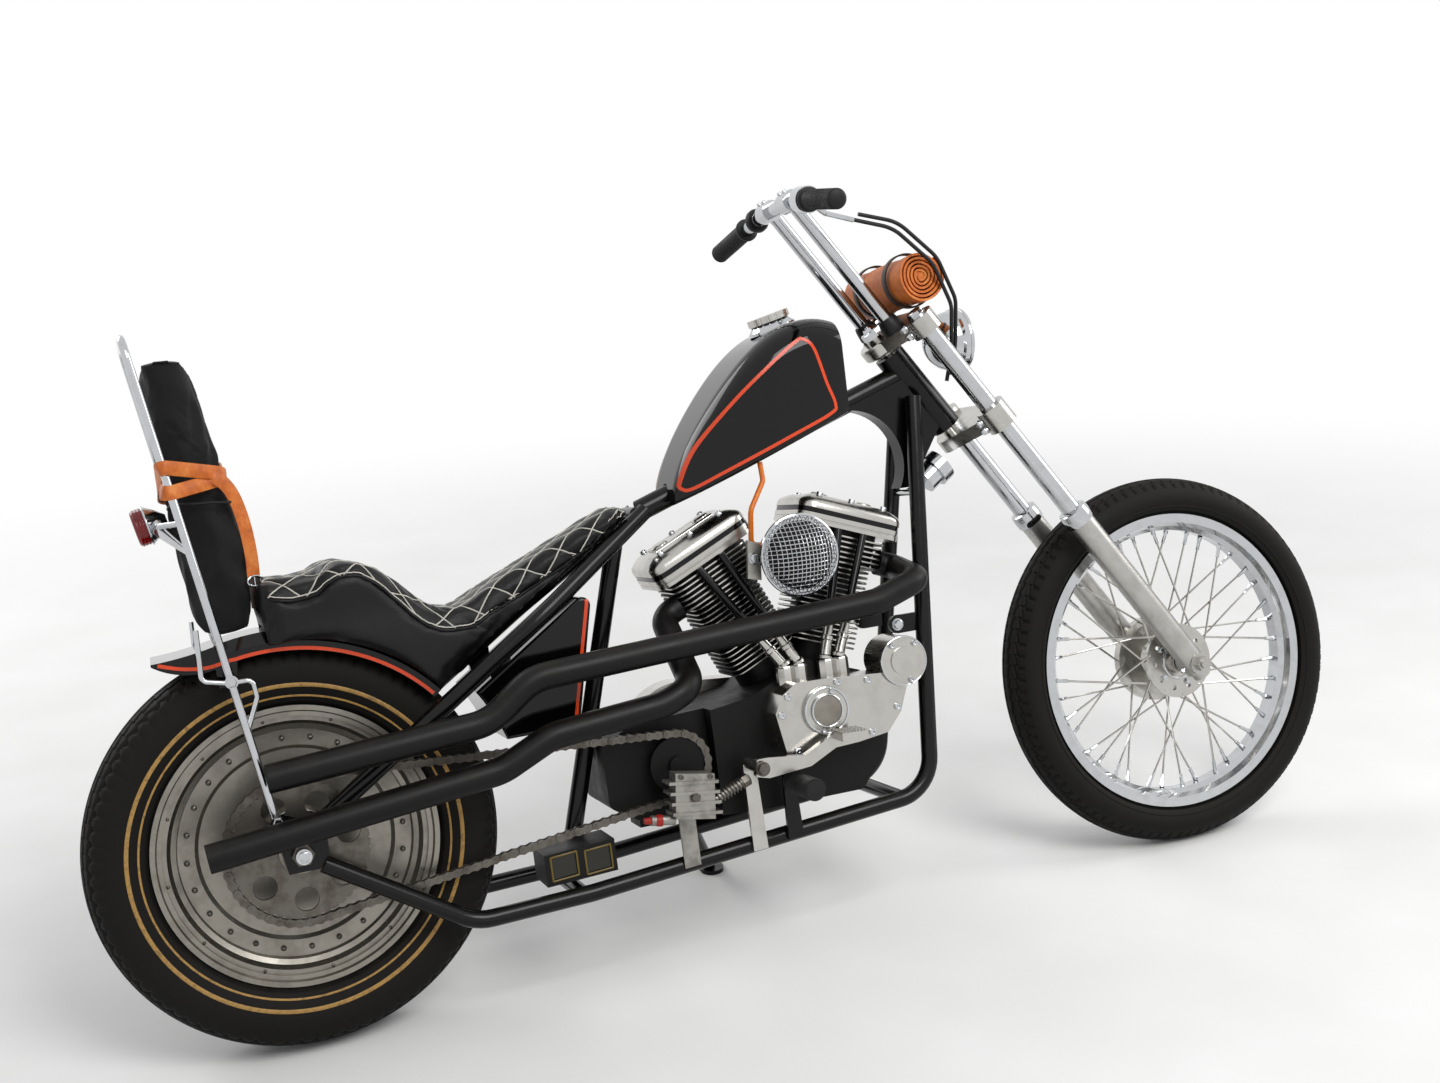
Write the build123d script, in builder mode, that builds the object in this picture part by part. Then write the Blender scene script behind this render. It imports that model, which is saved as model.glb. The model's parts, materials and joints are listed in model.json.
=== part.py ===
from build123d import *
import os
from math import asin, atan2, ceil, cos, degrees, pi, radians, sin, sqrt, tan

# A rigid-frame chopper with a V-twin engine, parked on its side stand.
# Everything is drawn upright in millimetres: X forward from the rear axle, Y to
# the rider's left, Z up from the ground. At the end the whole machine is leaned
# to its left about the tyres' ground line.

# Stance and wheels
LEAN = 12
WHEELBASE = 1645
REAR_TYRE_R = 324
FRONT_TYRE_R = 347
REAR_TYRE_HALF = 65
FRONT_TYRE_HALF = 46
AXLE_R = 10
FRONT_AXLE_R = 8
RUNNING_FIT = 0.05
SEAT_GAP = 0.3

# Steering geometry, in the fork's own directions from the front axle
RAKE = 34.5
FORK_OFFSET = 50
FORK_HALF_SPACING = 89
TUBE_D = 35
SLIDER_D = 48
SLIDER_TOP = 384
LOWER_TREE = 614
UPPER_TREE = 834
RISER_TOP = 1141
RISER_FORWARD = -33
RISER_HALF_SPACING = 50
RISER_D = 25.4
BAR_D = 25.4
BAR_HALF_WIDTH = 288
GRIP_START = 150
GRIP_D = 34

# Frame
RAIL_D = 28.6
BACKBONE_D = 38
RAIL_HALF_SPACING = 110
PLATE_OUTER = 114
PLATE_THICK = 8
HEAD_LOW = 640
HEAD_HIGH = 812
HEAD_D = 56
HEAD_BORE_R = 18

# Engine: crank centre, cylinder tilts (forward positive) and heights along them
CRANK = (877, 361)
CYLINDER_TILTS = (-25, 20)
DECK = 112
BARREL_TOP = 290
HEAD_TOP = 345
ROCKER_TOP = 394
CASE_HALF = 92
CAM_COVER_FACE = 160

# Final drive
CHAIN_PITCH = 15.875
CHAIN_Y = -80
REAR_TEETH = 45
FRONT_TEETH = 21
DRIVE_CENTRE = (624, 342)

# Exhaust
PIPE_D = 44.5
PIPE_Y = -168


def crown_radius(tyre_r, shoulder_r, shoulder_half):
    """Radius of a tread's crown from the drop to its shoulders."""
    drop = tyre_r - shoulder_r
    return (shoulder_half**2 + drop**2) / (2 * drop)


# A leaned tyre stands a little below its upright height, more so a wide one, so
# the front axle is set down until both tyres meet one level ground.
REAR_SHOULDER = (306, 56)
FRONT_SHOULDER = (331, 36)
LEAN_DROP = 1 - cos(radians(LEAN))
REAR_SINK = crown_radius(REAR_TYRE_R, *REAR_SHOULDER) * LEAN_DROP
FRONT_SINK = crown_radius(FRONT_TYRE_R, *FRONT_SHOULDER) * LEAN_DROP
FRONT_AXLE_Z = FRONT_TYRE_R - (REAR_SINK - FRONT_SINK) / cos(radians(LEAN))

REAR_AXLE = Vector(0, 0, REAR_TYRE_R)
FRONT_AXLE = Vector(WHEELBASE, 0, FRONT_AXLE_Z)
GROUND_UP = Vector(0, -sin(radians(LEAN)), cos(radians(LEAN)))
UP_FORK = Vector(-sin(radians(RAKE)), 0, cos(radians(RAKE)))
AHEAD = Vector(cos(radians(RAKE)), 0, sin(radians(RAKE)))
LEFT = Vector(0, 1, 0)
SIDES = (-1, 1)


def on_fork(along, forward=0, left=0):
    """A point given along the fork from the front axle, ahead of it and to the left."""
    return FRONT_AXLE + UP_FORK * along + AHEAD * forward + LEFT * left


def fork_plane(along, forward=0, left=0):
    """A plane square to the fork: local X ahead, local Y left, normal up the fork."""
    return Plane(origin=on_fork(along, forward, left), x_dir=AHEAD, z_dir=UP_FORK)


def side_plane(y):
    """A plane at the given Y seen from the right: local X forward, local Y up."""
    return Plane.XZ.offset(-y)


def bar(start, finish, diameter, mode=Mode.ADD):
    """A straight round bar from start to finish."""
    start, finish = Vector(*start), Vector(*finish)
    run = finish - start
    with BuildSketch(Plane(origin=start, z_dir=run.normalized())) as section:
        Circle(diameter / 2)
    extrude(section.sketch, amount=run.length, mode=mode)


def cross_bar(x, z, y_start, y_end, diameter, mode=Mode.ADD):
    """A round bar that runs sideways at x, z."""
    bar((x, y_start, z), (x, y_end, z), diameter, mode)


def bent_tube(points, diameter, bends, mode=Mode.ADD):
    """A round tube or rod through the points, with the given bend radii."""
    with BuildLine() as route:
        FilletPolyline(*points, radius=bends)
    with BuildSketch(Plane(origin=route.line @ 0, z_dir=route.line % 0)) as section:
        Circle(diameter / 2)
    sweep(section.sketch, path=route.line, mode=mode)


def hex_nut(x, z, y_start, y_end, across_flats, mode=Mode.ADD):
    """A hexagon between two Y positions, centred at x, z."""
    with BuildSketch(side_plane(y_start)) as section:
        with Locations((x, z)):
            RegularPolygon(across_flats / 2, 6, major_radius=False)
    extrude(section.sketch, amount=y_start - y_end, mode=mode)


def plate(outline, y_start, y_end, mode=Mode.ADD, rounding=0):
    """A flat plate with a straight-sided outline in the side view."""
    with BuildSketch(side_plane(y_start)) as section:
        Polygon(*outline, align=None)
        if rounding:
            fillet(section.vertices(), rounding)
    extrude(section.sketch, amount=y_start - y_end, mode=mode)


def disc(x, z, radius, y_start, y_end, mode=Mode.ADD):
    """A round plate or boss between two Y positions."""
    cross_bar(x, z, y_start, y_end, 2 * radius, mode)


def wheel_profile_plane(axle):
    """A plane through an axle for turned profiles: local X outward, local Y left."""
    return Plane(origin=axle, x_dir=(1, 0, 0), z_dir=(0, 0, 1))


def turned(axle, outline):
    """A solid turned about an axle from a straight-sided half section."""
    with BuildSketch(wheel_profile_plane(axle)) as section:
        Polygon(*outline, align=None)
    revolve(section.sketch, axis=Axis(axle, LEFT))


# Rear wheel: tyre
with BuildPart() as rear_tyre:
    with BuildSketch(wheel_profile_plane(REAR_AXLE)) as rear_tyre_section:
        with BuildLine():
            Polyline((206, -40), (225, -40), (230, -52))
            ThreePointArc((230, -52), (268, -REAR_TYRE_HALF), (306, -56))
            ThreePointArc((306, -56), (REAR_TYRE_R, 0), (306, 56))
            ThreePointArc((306, 56), (268, REAR_TYRE_HALF), (230, 52))
            Polyline((230, 52), (225, 40), (206, 40), (206, -40))
        make_face()
    revolve(axis=Axis(REAR_AXLE, LEFT))
rear_tyre.part.label = "rear_tyre"

# Rear wheel: stepped disc rim, riveted between two halves, with its hub
HUB_HALF = 94
RIM_STEPS = (
    # radius, face depth from the centre plane
    (223, 46),
    (215, 46),
    (210, 34),
    (198, 34),
    (192, 25),
    (184, 22),
    (182, 12),
    (156, 10),
    (150, 5),
    (60, 5),
    (52, 30),
    (34, 34),
    (34, HUB_HALF),
)
with BuildPart() as rear_wheel_disc:
    near_face = [(r, -y) for r, y in RIM_STEPS]
    far_face = [(r, y) for r, y in RIM_STEPS]
    bore_r = AXLE_R + RUNNING_FIT
    tyre_seat_r = 206 - SEAT_GAP
    lip = 40 + SEAT_GAP
    outline = [(223, -lip)] + near_face + [(bore_r, -HUB_HALF), (bore_r, HUB_HALF)]
    outline += far_face[::-1] + [(223, lip), (tyre_seat_r, lip), (tyre_seat_r, -lip)]
    turned(REAR_AXLE, outline)
    with BuildSketch(side_plane(-12)) as rivets:
        with Locations((0, REAR_TYRE_R)):
            with PolarLocations(169, 24):
                Circle(3.5)
    extrude(rivets.sketch, amount=3)
    extrude(rivets.sketch, amount=-27)
rear_wheel_disc.part.label = "rear_wheel_disc"


def pitch_radius(teeth):
    return CHAIN_PITCH / (2 * sin(pi / teeth))


# Rear wheel: sprocket carrier with seven round windows, and the brake disc opposite
CHAIN_INNER = 5.5
SPROCKET_HALF_THICK = 3.5
SPROCKET_R = pitch_radius(REAR_TEETH) - CHAIN_INNER - 1
with BuildPart() as rear_sprocket:
    with BuildSketch(side_plane(CHAIN_Y + SPROCKET_HALF_THICK)):
        with Locations((0, REAR_TYRE_R)):
            Circle(SPROCKET_R)
            Circle(34 + SEAT_GAP, mode=Mode.SUBTRACT)
            with PolarLocations(77, 7, start_angle=12):
                Circle(19, mode=Mode.SUBTRACT)
            with PolarLocations(SPROCKET_R, REAR_TEETH):
                Circle(2.6, mode=Mode.SUBTRACT)
    extrude(amount=2 * SPROCKET_HALF_THICK)
rear_sprocket.part.label = "rear_sprocket"

BRAKE_DISC_R = 146
BRAKE_DISC_Y = (78, 84)
with BuildPart() as rear_brake_disc:
    with BuildSketch(side_plane(BRAKE_DISC_Y[1])):
        with Locations((0, REAR_TYRE_R)):
            Circle(BRAKE_DISC_R)
            Circle(34 + SEAT_GAP, mode=Mode.SUBTRACT)
            with PolarLocations(118, 12):
                Circle(6, mode=Mode.SUBTRACT)
            with PolarLocations(74, 6):
                Circle(17, mode=Mode.SUBTRACT)
    extrude(amount=BRAKE_DISC_Y[1] - BRAKE_DISC_Y[0])
rear_brake_disc.part.label = "rear_brake_disc"

# Front wheel: tyre, laced rim and hub
with BuildPart() as front_tyre:
    with BuildSketch(wheel_profile_plane(FRONT_AXLE)) as front_tyre_section:
        with BuildLine():
            Polyline((267, -26), (281, -26), (285, -37))
            ThreePointArc((285, -37), (311, -FRONT_TYRE_HALF), (331, -36))
            ThreePointArc((331, -36), (FRONT_TYRE_R, 0), (331, 36))
            ThreePointArc((331, 36), (311, FRONT_TYRE_HALF), (285, 37))
            Polyline((285, 37), (281, 26), (267, 26), (267, -26))
        make_face()
    revolve(axis=Axis(FRONT_AXLE, LEFT))
front_tyre.part.label = "front_tyre"

RIM_INNER_R = 248
with BuildPart() as front_rim:
    turned(
        FRONT_AXLE,
        [
            (279, -33),
            (279, -26.3),
            (266.7, -26.3),
            (266.7, 26.3),
            (279, 26.3),
            (279, 33),
            (262, 33),
            (256, 22),
            (RIM_INNER_R, 13),
            (RIM_INNER_R, -13),
            (256, -22),
            (262, -33),
        ],
    )
front_rim.part.label = "front_rim"

SPOKES_A_SIDE = 20
SPOKE_D = 4
FLANGE_Y = 38
FLANGE_R = 70
SPOKE_CIRCLE_R = 63
SPOKE_LEAD = 36
with BuildPart() as front_hub:
    bore_r = FRONT_AXLE_R + RUNNING_FIT
    turned(
        FRONT_AXLE,
        [
            (bore_r, -56),
            (20, -56),
            (22, -42),
            (FLANGE_R, -42),
            (FLANGE_R, -35),
            (34, -33),
            (27, -22),
            (27, 20),
            (36, 30),
            (FLANGE_R, 31),
            (FLANGE_R + 12, 33),
            (FLANGE_R + 12, 50),
            (FLANGE_R + 6, 52),
            (24, 54),
            (20, 56),
            (bore_r, 56),
        ],
    )
    with BuildSketch(side_plane(-36)) as drillings:
        with Locations((WHEELBASE, FRONT_AXLE_Z)):
            with PolarLocations(52, 10):
                Circle(5)
    extrude(drillings.sketch, amount=10, both=True, mode=Mode.SUBTRACT)
    spokes = []
    for side in SIDES:
        for i in range(SPOKES_A_SIDE):
            lead = SPOKE_LEAD if i % 2 else -SPOKE_LEAD
            hub_angle = radians(360 * i / SPOKES_A_SIDE + (9 if side > 0 else 0))
            rim_angle = hub_angle + radians(lead)
            flange_y = FLANGE_Y + (3 if i % 2 else -3)
            if side > 0:
                flange_y = 36 - (2.6 if i % 2 else -2.6)
            inner = FRONT_AXLE + Vector(
                SPOKE_CIRCLE_R * cos(hub_angle), side * flange_y, SPOKE_CIRCLE_R * sin(hub_angle)
            )
            outer_r = RIM_INNER_R - 0.7
            outer = FRONT_AXLE + Vector(outer_r * cos(rim_angle), side * 6, outer_r * sin(rim_angle))
            with BuildSketch(Plane(origin=inner, z_dir=(outer - inner).normalized())) as wire:
                RegularPolygon(SPOKE_D / 2, 6)
            spokes.append(extrude(wire.sketch, amount=(outer - inner).length, mode=Mode.PRIVATE))
    add(spokes)
front_hub.part.label = "front_hub"

# Rear axle with its spacers and nuts
with BuildPart() as rear_axle:
    cross_bar(0, REAR_TYRE_R, -140, 140, 2 * AXLE_R)
    for side in SIDES:
        cross_bar(0, REAR_TYRE_R, side * (HUB_HALF + 1), side * (PLATE_OUTER - PLATE_THICK), 30)
        hex_nut(0, REAR_TYRE_R, side * PLATE_OUTER, side * (PLATE_OUTER + 16), 30)
rear_axle.part.label = "rear_axle"

# Frame: backbone, head tube, gusset, downtubes, cradle and seat post
SEAT_JOINT = (640, 770)
STAY_END = (12, 352)
STAY_SLOPE = (SEAT_JOINT[1] - STAY_END[1]) / (SEAT_JOINT[0] - STAY_END[0])
STAY_BEND_X = 430


def on_stay(x):
    """Height of the upper stays' centre line."""
    return STAY_END[1] + STAY_SLOPE * (x - STAY_END[0])


# Side stand: pivot off the left rail, foot flat on the ground, and where it parks
STAND_PIVOT = Vector(700, 144, 186)
STAND_FOOT_X = 772
STAND_FOOT_Y = 296
FOOT_THICK = 8
foot_ground_z = (STAND_FOOT_Y * sin(radians(LEAN)) - REAR_SINK) / cos(radians(LEAN))
STAND_FOOT = Vector(STAND_FOOT_X, STAND_FOOT_Y, foot_ground_z)
STAND_PARKED = Vector(-1, 0.1, 0.06).normalized()
STAND_LEG = (STAND_FOOT - STAND_PIVOT).normalized()
STAND_AXIS = STAND_LEG.cross(STAND_PARKED).normalized()
STAND_SWING = STAND_LEG.get_angle(STAND_PARKED)
STAND_BOSS_HALF = 8
STAND_PIN_D = 12
TO_RAIL = Vector(0, -1, 0)
TO_RAIL = (TO_RAIL - STAND_AXIS * TO_RAIL.dot(STAND_AXIS)).normalized()

def stay_points(side):
    """The upper stay's route on one side, from the seat joint to the axle plate."""
    return (
        (SEAT_JOINT[0], side * 36, SEAT_JOINT[1]),
        (STAY_BEND_X, side * 99, on_stay(STAY_BEND_X)),
        (STAY_END[0], side * 112, STAY_END[1]),
    )


CRADLE = ((1165, 905), (1068, 218), (445, 167), (250, 161), (30, 302))
AXLE_PLATE = [(-24, 296), (-40, 384), (-22, 390), (18, 374), (40, 345), (40, 312), (22, 296)]
with BuildPart() as frame_cradle:
    for side in SIDES:
        path = [
            (x, side * (34 if i == 0 else RAIL_HALF_SPACING), z) for i, (x, z) in enumerate(CRADLE)
        ]
        bent_tube(path, RAIL_D, [75, 150, 90])
    for x, z in ((430, 166), (1015, 213)):
        cross_bar(x, z, -RAIL_HALF_SPACING, RAIL_HALF_SPACING, 26)
    bar((595, 0, 742), (427, 0, 168), 30)
    bar((1168, 0, 950), (SEAT_JOINT[0], 0, SEAT_JOINT[1]), BACKBONE_D)
    bar(on_fork(HEAD_LOW, -FORK_OFFSET), on_fork(HEAD_HIGH, -FORK_OFFSET), HEAD_D)
    with BuildSketch(Plane.XZ) as gusset:
        with BuildLine():
            Polyline((1019, 893), (1165, 942), (1232, 868), (1148, 745), (1125, 745))
            ThreePointArc((1125, 745), (1106, 868), (1019, 893))
        make_face()
    extrude(gusset.sketch, amount=20, both=True)
    head_axis_start = on_fork(HEAD_LOW - 1, -FORK_OFFSET)
    head_axis_end = on_fork(HEAD_HIGH + 1, -FORK_OFFSET)
    bar(head_axis_start, head_axis_end, 2 * HEAD_BORE_R, Mode.SUBTRACT)
    for side in SIDES:
        plate(AXLE_PLATE, side * PLATE_OUTER, side * (PLATE_OUTER - PLATE_THICK))
        disc(0, REAR_TYRE_R, AXLE_R + RUNNING_FIT, side * 100, side * 120, Mode.SUBTRACT)
    lug = STAND_PIVOT + STAND_AXIS * (STAND_BOSS_HALF + 1)
    web_foot = STAND_PIVOT + TO_RAIL * 31
    bar(lug, lug + STAND_AXIS * 8, 30)
    bar(lug + STAND_AXIS * 4, web_foot + STAND_AXIS * (STAND_BOSS_HALF + 5), 7)
    bar(web_foot + STAND_AXIS * (STAND_BOSS_HALF + 10), web_foot - STAND_AXIS * 18, 16)
    bar(lug, STAND_PIVOT - STAND_AXIS * (STAND_BOSS_HALF + 6), STAND_PIN_D)
    head_of_pin = STAND_PIVOT - STAND_AXIS * (STAND_BOSS_HALF + 1)
    bar(head_of_pin, head_of_pin - STAND_AXIS * 6, 20)
frame_cradle.part.label = "frame_cradle"

# Frame: straight upper stays and the axle plates
with BuildPart() as frame_stays:
    for side in SIDES:
        bent_tube(stay_points(side), RAIL_D, [200])
        plate(
            AXLE_PLATE,
            side * (PLATE_OUTER + SEAT_GAP),
            side * (PLATE_OUTER - PLATE_THICK - SEAT_GAP),
            Mode.SUBTRACT,
        )
    cross_bar(626, 765, -36, 36, RAIL_D - 0.6)
frame_stays.part.label = "frame_stays"

# Fuel tank: lofted over the backbone from sections square to X
TANK_SECTIONS = (
    # x, bottom, top, half width, top corner radius
    (690, 773, 800, 60, 12),
    (735, 790, 888, 88, 36),
    (800, 814, 968, 106, 46),
    (880, 844, 1036, 117, 50),
    (950, 870, 1060, 118, 50),
    (1008, 892, 1052, 110, 46),
)
TANK_TUNNEL = Plane(origin=(660, 0, 776), x_dir=(0, 1, 0), z_dir=(0.948, 0, 0.319))
with BuildPart() as tank:
    for x, low, high, half, corner in TANK_SECTIONS:
        with BuildSketch(Plane(origin=(x, 0, 0), x_dir=(0, 1, 0), z_dir=(1, 0, 0))) as tank_section:
            Polygon((6 - half, low), (half - 6, low), (half, high), (-half, high), align=None)
            fillet(tank_section.vertices().group_by(Axis.Y)[-1], corner)
            fillet(tank_section.vertices().group_by(Axis.Y)[0], 9)
    loft()
    with BuildSketch(TANK_TUNNEL) as tunnel:
        Circle(BACKBONE_D / 2 + 3)
        with Locations((0, -40)):
            Rectangle(BACKBONE_D + 6, 80)
    extrude(tunnel.sketch, amount=420, mode=Mode.SUBTRACT)
tank.part.label = "tank"

TANK_CAP = Plane(origin=(926, 0, 1056), x_dir=(0.97, 0, 0.24), z_dir=(-0.24, 0, 0.97))
with BuildPart() as tank_cap:
    with BuildSketch(TANK_CAP.offset(-8)):
        Circle(28)
    extrude(amount=20)
    with BuildSketch(TANK_CAP.offset(12)):
        Circle(38)
        with PolarLocations(39, 16):
            Circle(2.5, mode=Mode.SUBTRACT)
    extrude(amount=12)
    fillet(tank_cap.faces().sort_by(Axis.Z)[-1].edges(), 2)
    add(tank.part, mode=Mode.SUBTRACT)
tank_cap.part.label = "tank_cap"

# Oil tank: between the upper stays and the seat post, hollowed behind for the tyre
OIL_TANK_HALF = 98
TYRE_ROOM_R = 362
with BuildPart() as oil_tank:
    with BuildSketch(Plane.XZ):
        Polygon((270, 438), (465, 438), (517, 664), (270, 500), align=None)
        with Locations((0, REAR_TYRE_R)):
            Circle(TYRE_ROOM_R, mode=Mode.SUBTRACT)
    extrude(amount=OIL_TANK_HALF, both=True)
    fillet(oil_tank.edges().filter_by(Axis.Y).group_by(Axis.X)[-1], 14)
    fillet(oil_tank.faces().sort_by(Axis.Y)[0].edges(), 6)
    fillet(oil_tank.faces().sort_by(Axis.Y)[-1].edges(), 6)
    for side in SIDES:
        plate([(330, 520), (366, 540), (366, 592), (330, 568)], side * 82, side * 96)
        bar(*stay_points(side)[1:], RAIL_D + 2 * SEAT_GAP, Mode.SUBTRACT)
oil_tank.part.label = "oil_tank"

# Rear fender: a U-shaped sheet over the tyre with a raised tail
FENDER_INNER_R = 341
FENDER_SHEET = 4
FENDER_HALF = 82
FENDER_EDGE_R = 312
FENDER_FRONT_ANGLE = 40
FENDER_REAR_ANGLE = 104
def fender_plane(angle):
    """A plane through the rear axle at an angle above the forward direction."""
    a = radians(angle)
    return Plane(origin=REAR_AXLE, x_dir=(cos(a), 0, sin(a)), z_dir=(-sin(a), 0, cos(a)))


def fender_outline(inner_r, half, corner):
    """The U of the fender's outside at a given size, open towards the axle."""
    Polygon(
        (FENDER_EDGE_R, -half),
        (inner_r - corner, -half),
        (inner_r, -half + corner),
        (inner_r, half - corner),
        (inner_r - corner, half),
        (FENDER_EDGE_R, half),
        align=None,
    )


TAIL_TOP = (-178, 646)
with BuildPart() as rear_fender:
    with BuildSketch(fender_plane(FENDER_REAR_ANGLE)) as fender_section:
        fender_outline(FENDER_INNER_R + FENDER_SHEET, FENDER_HALF, 18)
    with BuildSketch(fender_plane(FENDER_REAR_ANGLE)) as fender_void:
        Polygon(
            (FENDER_EDGE_R - 1, -FENDER_HALF + FENDER_SHEET),
            (FENDER_INNER_R - 17, -FENDER_HALF + FENDER_SHEET),
            (FENDER_INNER_R, -FENDER_HALF + 19),
            (FENDER_INNER_R, FENDER_HALF - 19),
            (FENDER_INNER_R - 17, FENDER_HALF - FENDER_SHEET),
            (FENDER_EDGE_R - 1, FENDER_HALF - FENDER_SHEET),
            align=None,
        )
    sweep_angle = FENDER_REAR_ANGLE - FENDER_FRONT_ANGLE
    axle_axis = Axis(REAR_AXLE, LEFT)
    revolve(fender_section.sketch, axis=axle_axis, revolution_arc=sweep_angle)
    revolve(fender_void.sketch, axis=axle_axis, revolution_arc=sweep_angle, mode=Mode.SUBTRACT)
    rear_rad = radians(FENDER_REAR_ANGLE)
    tail_out = (345 * cos(rear_rad), REAR_TYRE_R + 345 * sin(rear_rad))
    tail_in = (341 * cos(rear_rad), REAR_TYRE_R + 341 * sin(rear_rad))
    tail_low = (FENDER_EDGE_R * cos(rear_rad), REAR_TYRE_R + FENDER_EDGE_R * sin(rear_rad))
    with BuildSketch(Plane.XZ) as tail_crown:
        with BuildLine():
            ThreePointArc(tail_out, (-132, 650), TAIL_TOP)
            Line(TAIL_TOP, (-178, 642))
            ThreePointArc((-178, 642), (-132, 645.5), tail_in)
            Line(tail_in, tail_out)
        make_face()
    extrude(tail_crown.sketch, amount=FENDER_HALF - 1, both=True)
    with BuildSketch(Plane.XZ) as tail_side:
        with BuildLine():
            ThreePointArc(tail_out, (-132, 650), TAIL_TOP)
            Line(TAIL_TOP, (-178, 642))
            ThreePointArc((-178, 642), (-128, 622), tail_low)
            Line(tail_low, tail_out)
        make_face()
    for side in SIDES:
        sheet = extrude(
            tail_side.sketch, amount=FENDER_SHEET / 2, both=True, mode=Mode.PRIVATE
        )
        add(sheet.moved(Location((0, side * (FENDER_HALF - FENDER_SHEET / 2), 0))))
        plate(
            [(-84, 594), (-58, 594), (-52, 632), (-86, 628)],
            side * FENDER_HALF,
            side * (FENDER_HALF - FENDER_SHEET),
        )
rear_fender.part.label = "rear_fender"

# Seat: stepped cushion over the fender and the upper stays
SEAT_SKIRT_R = 320
STAY_CLEAR = 20
def over_stay(x):
    """Height of the underside of the seat where it lies on the upper stays."""
    return on_stay(x) + STAY_CLEAR


with BuildPart() as seat:
    with BuildSketch(Plane.XZ):
        with BuildLine():
            ThreePointArc((-13, 750), (34, 742), (80, 747))
            ThreePointArc((80, 747), (128, 758), (172, 742))
            Line((172, 742), (236, 680))
            ThreePointArc((236, 680), (282, 657), (345, 674))
            Line((345, 674), (588, 783))
            ThreePointArc((588, 783), (605, 783), (610, over_stay(610)))
            Polyline((610, over_stay(610)), (248, over_stay(248)), (-13, 560), (-13, 750))
        make_face()
        with Locations((0, REAR_TYRE_R)):
            Circle(SEAT_SKIRT_R, mode=Mode.SUBTRACT)
    extrude(amount=120, both=True)
    with BuildSketch(Plane.XY.offset(500)):
        with BuildLine():
            Polyline((-13, -104), (120, -106))
            ThreePointArc((120, -106), (260, -92), (400, -72))
            Polyline((400, -72), (622, -60), (622, 60), (400, 72))
            ThreePointArc((400, 72), (260, 92), (120, 106))
            Polyline((120, 106), (-13, 104), (-13, -104))
        make_face()
    extrude(amount=320, mode=Mode.INTERSECT)
    with BuildSketch(wheel_profile_plane(REAR_AXLE)) as fender_room:
        Rectangle(
            FENDER_INNER_R + FENDER_SHEET + SEAT_GAP,
            2 * (FENDER_HALF + SEAT_GAP),
            align=(Align.MIN, Align.CENTER),
        )
    revolve(fender_room.sketch, axis=Axis(REAR_AXLE, LEFT), mode=Mode.SUBTRACT)
    top_rims = [
        edge
        for edge in seat.edges()
        if edge.length > 60 and abs(edge.center().Y) > 50 and edge.center().Z > 640
    ]
    fillet([e for e in top_rims if e.center().Z > over_stay(e.center().X) + 30], 16)
seat.part.label = "seat"

# Sissy bar: one tall loop of rod with the wire brackets at the fender bolts
SISSY_Y = 121
SISSY_FOOT = (-31, 378)
SISSY_TOP = (-151, 1137)
SISSY_D = 12.7
def sissy_x(z):
    """X of the sissy bar's rods at a height."""
    share = (z - SISSY_FOOT[1]) / (SISSY_TOP[1] - SISSY_FOOT[1])
    return SISSY_FOOT[0] + share * (SISSY_TOP[0] - SISSY_FOOT[0])


FENDER_BOLT_Z = 605
LIGHT_BAR_Z = 852
with BuildPart() as sissy_bar:
    bent_tube(
        [
            (SISSY_FOOT[0], -SISSY_Y, SISSY_FOOT[1]),
            (SISSY_TOP[0], -SISSY_Y, SISSY_TOP[1]),
            (SISSY_TOP[0], SISSY_Y, SISSY_TOP[1]),
            (SISSY_FOOT[0], SISSY_Y, SISSY_FOOT[1]),
        ],
        SISSY_D,
        [32, 32],
    )
    for side in SIDES:
        y = side * SISSY_Y
        cross_bar(sissy_x(FENDER_BOLT_Z), FENDER_BOLT_Z, side * 130, side * (FENDER_HALF + SEAT_GAP), 12)
        cross_bar(SISSY_FOOT[0] + 1, SISSY_FOOT[1] + 2, side * 131, side * (PLATE_OUTER + SEAT_GAP), 16)
        bent_tube(
            [(-107, y, 690), (-109, y, 612), (-70, y, 603), (-36, y, 603), (-33, y, 575), (-52, y, 530)],
            8,
            [10, 6, 10, 8],
        )
    x = sissy_x(LIGHT_BAR_Z)
    bent_tube(
        [(x, -SISSY_Y, LIGHT_BAR_Z), (x - 30, -90, LIGHT_BAR_Z), (x - 30, 90, LIGHT_BAR_Z), (x, SISSY_Y, LIGHT_BAR_Z)],
        9,
        [14, 14],
    )
sissy_bar.part.label = "sissy_bar"

# Tail light: chrome shell tapering to its stem, with a round red lens
LIGHT_PLANE = Plane(origin=(-152, 0, 856), x_dir=(0, 1, 0), z_dir=(-0.98, 0, -0.2))
with BuildPart() as tail_light:
    with BuildSketch(LIGHT_PLANE):
        Circle(31)
    with BuildSketch(LIGHT_PLANE.offset(-14)):
        Circle(22)
    with BuildSketch(LIGHT_PLANE.offset(-30)):
        Circle(8)
    loft(ruled=True)
    x = sissy_x(LIGHT_BAR_Z) - 30
    bar((x, -40, LIGHT_BAR_Z), (x, 40, LIGHT_BAR_Z), 9 + 2 * SEAT_GAP, Mode.SUBTRACT)
tail_light.part.label = "tail_light"

with BuildPart() as tail_lens:
    with BuildSketch(LIGHT_PLANE.offset(SEAT_GAP)):
        Circle(29)
    extrude(amount=20)
    fillet(tail_lens.faces().sort_by(Axis.X)[0].edges(), 6)
tail_lens.part.label = "tail_lens"

# Black bag tied upright between the sissy bar's rods
BAG_SECTIONS = (
    # height, centre x, half length in x, half width in y
    (672, -60, 38, 60),
    (720, -58, 44.7, 66),
    (752, -58.5, 45.2, 68),
    (800, -60, 48, 70),
    (985, -86, 40, 62),
    (1106, -99, 34, 54),
)


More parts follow.
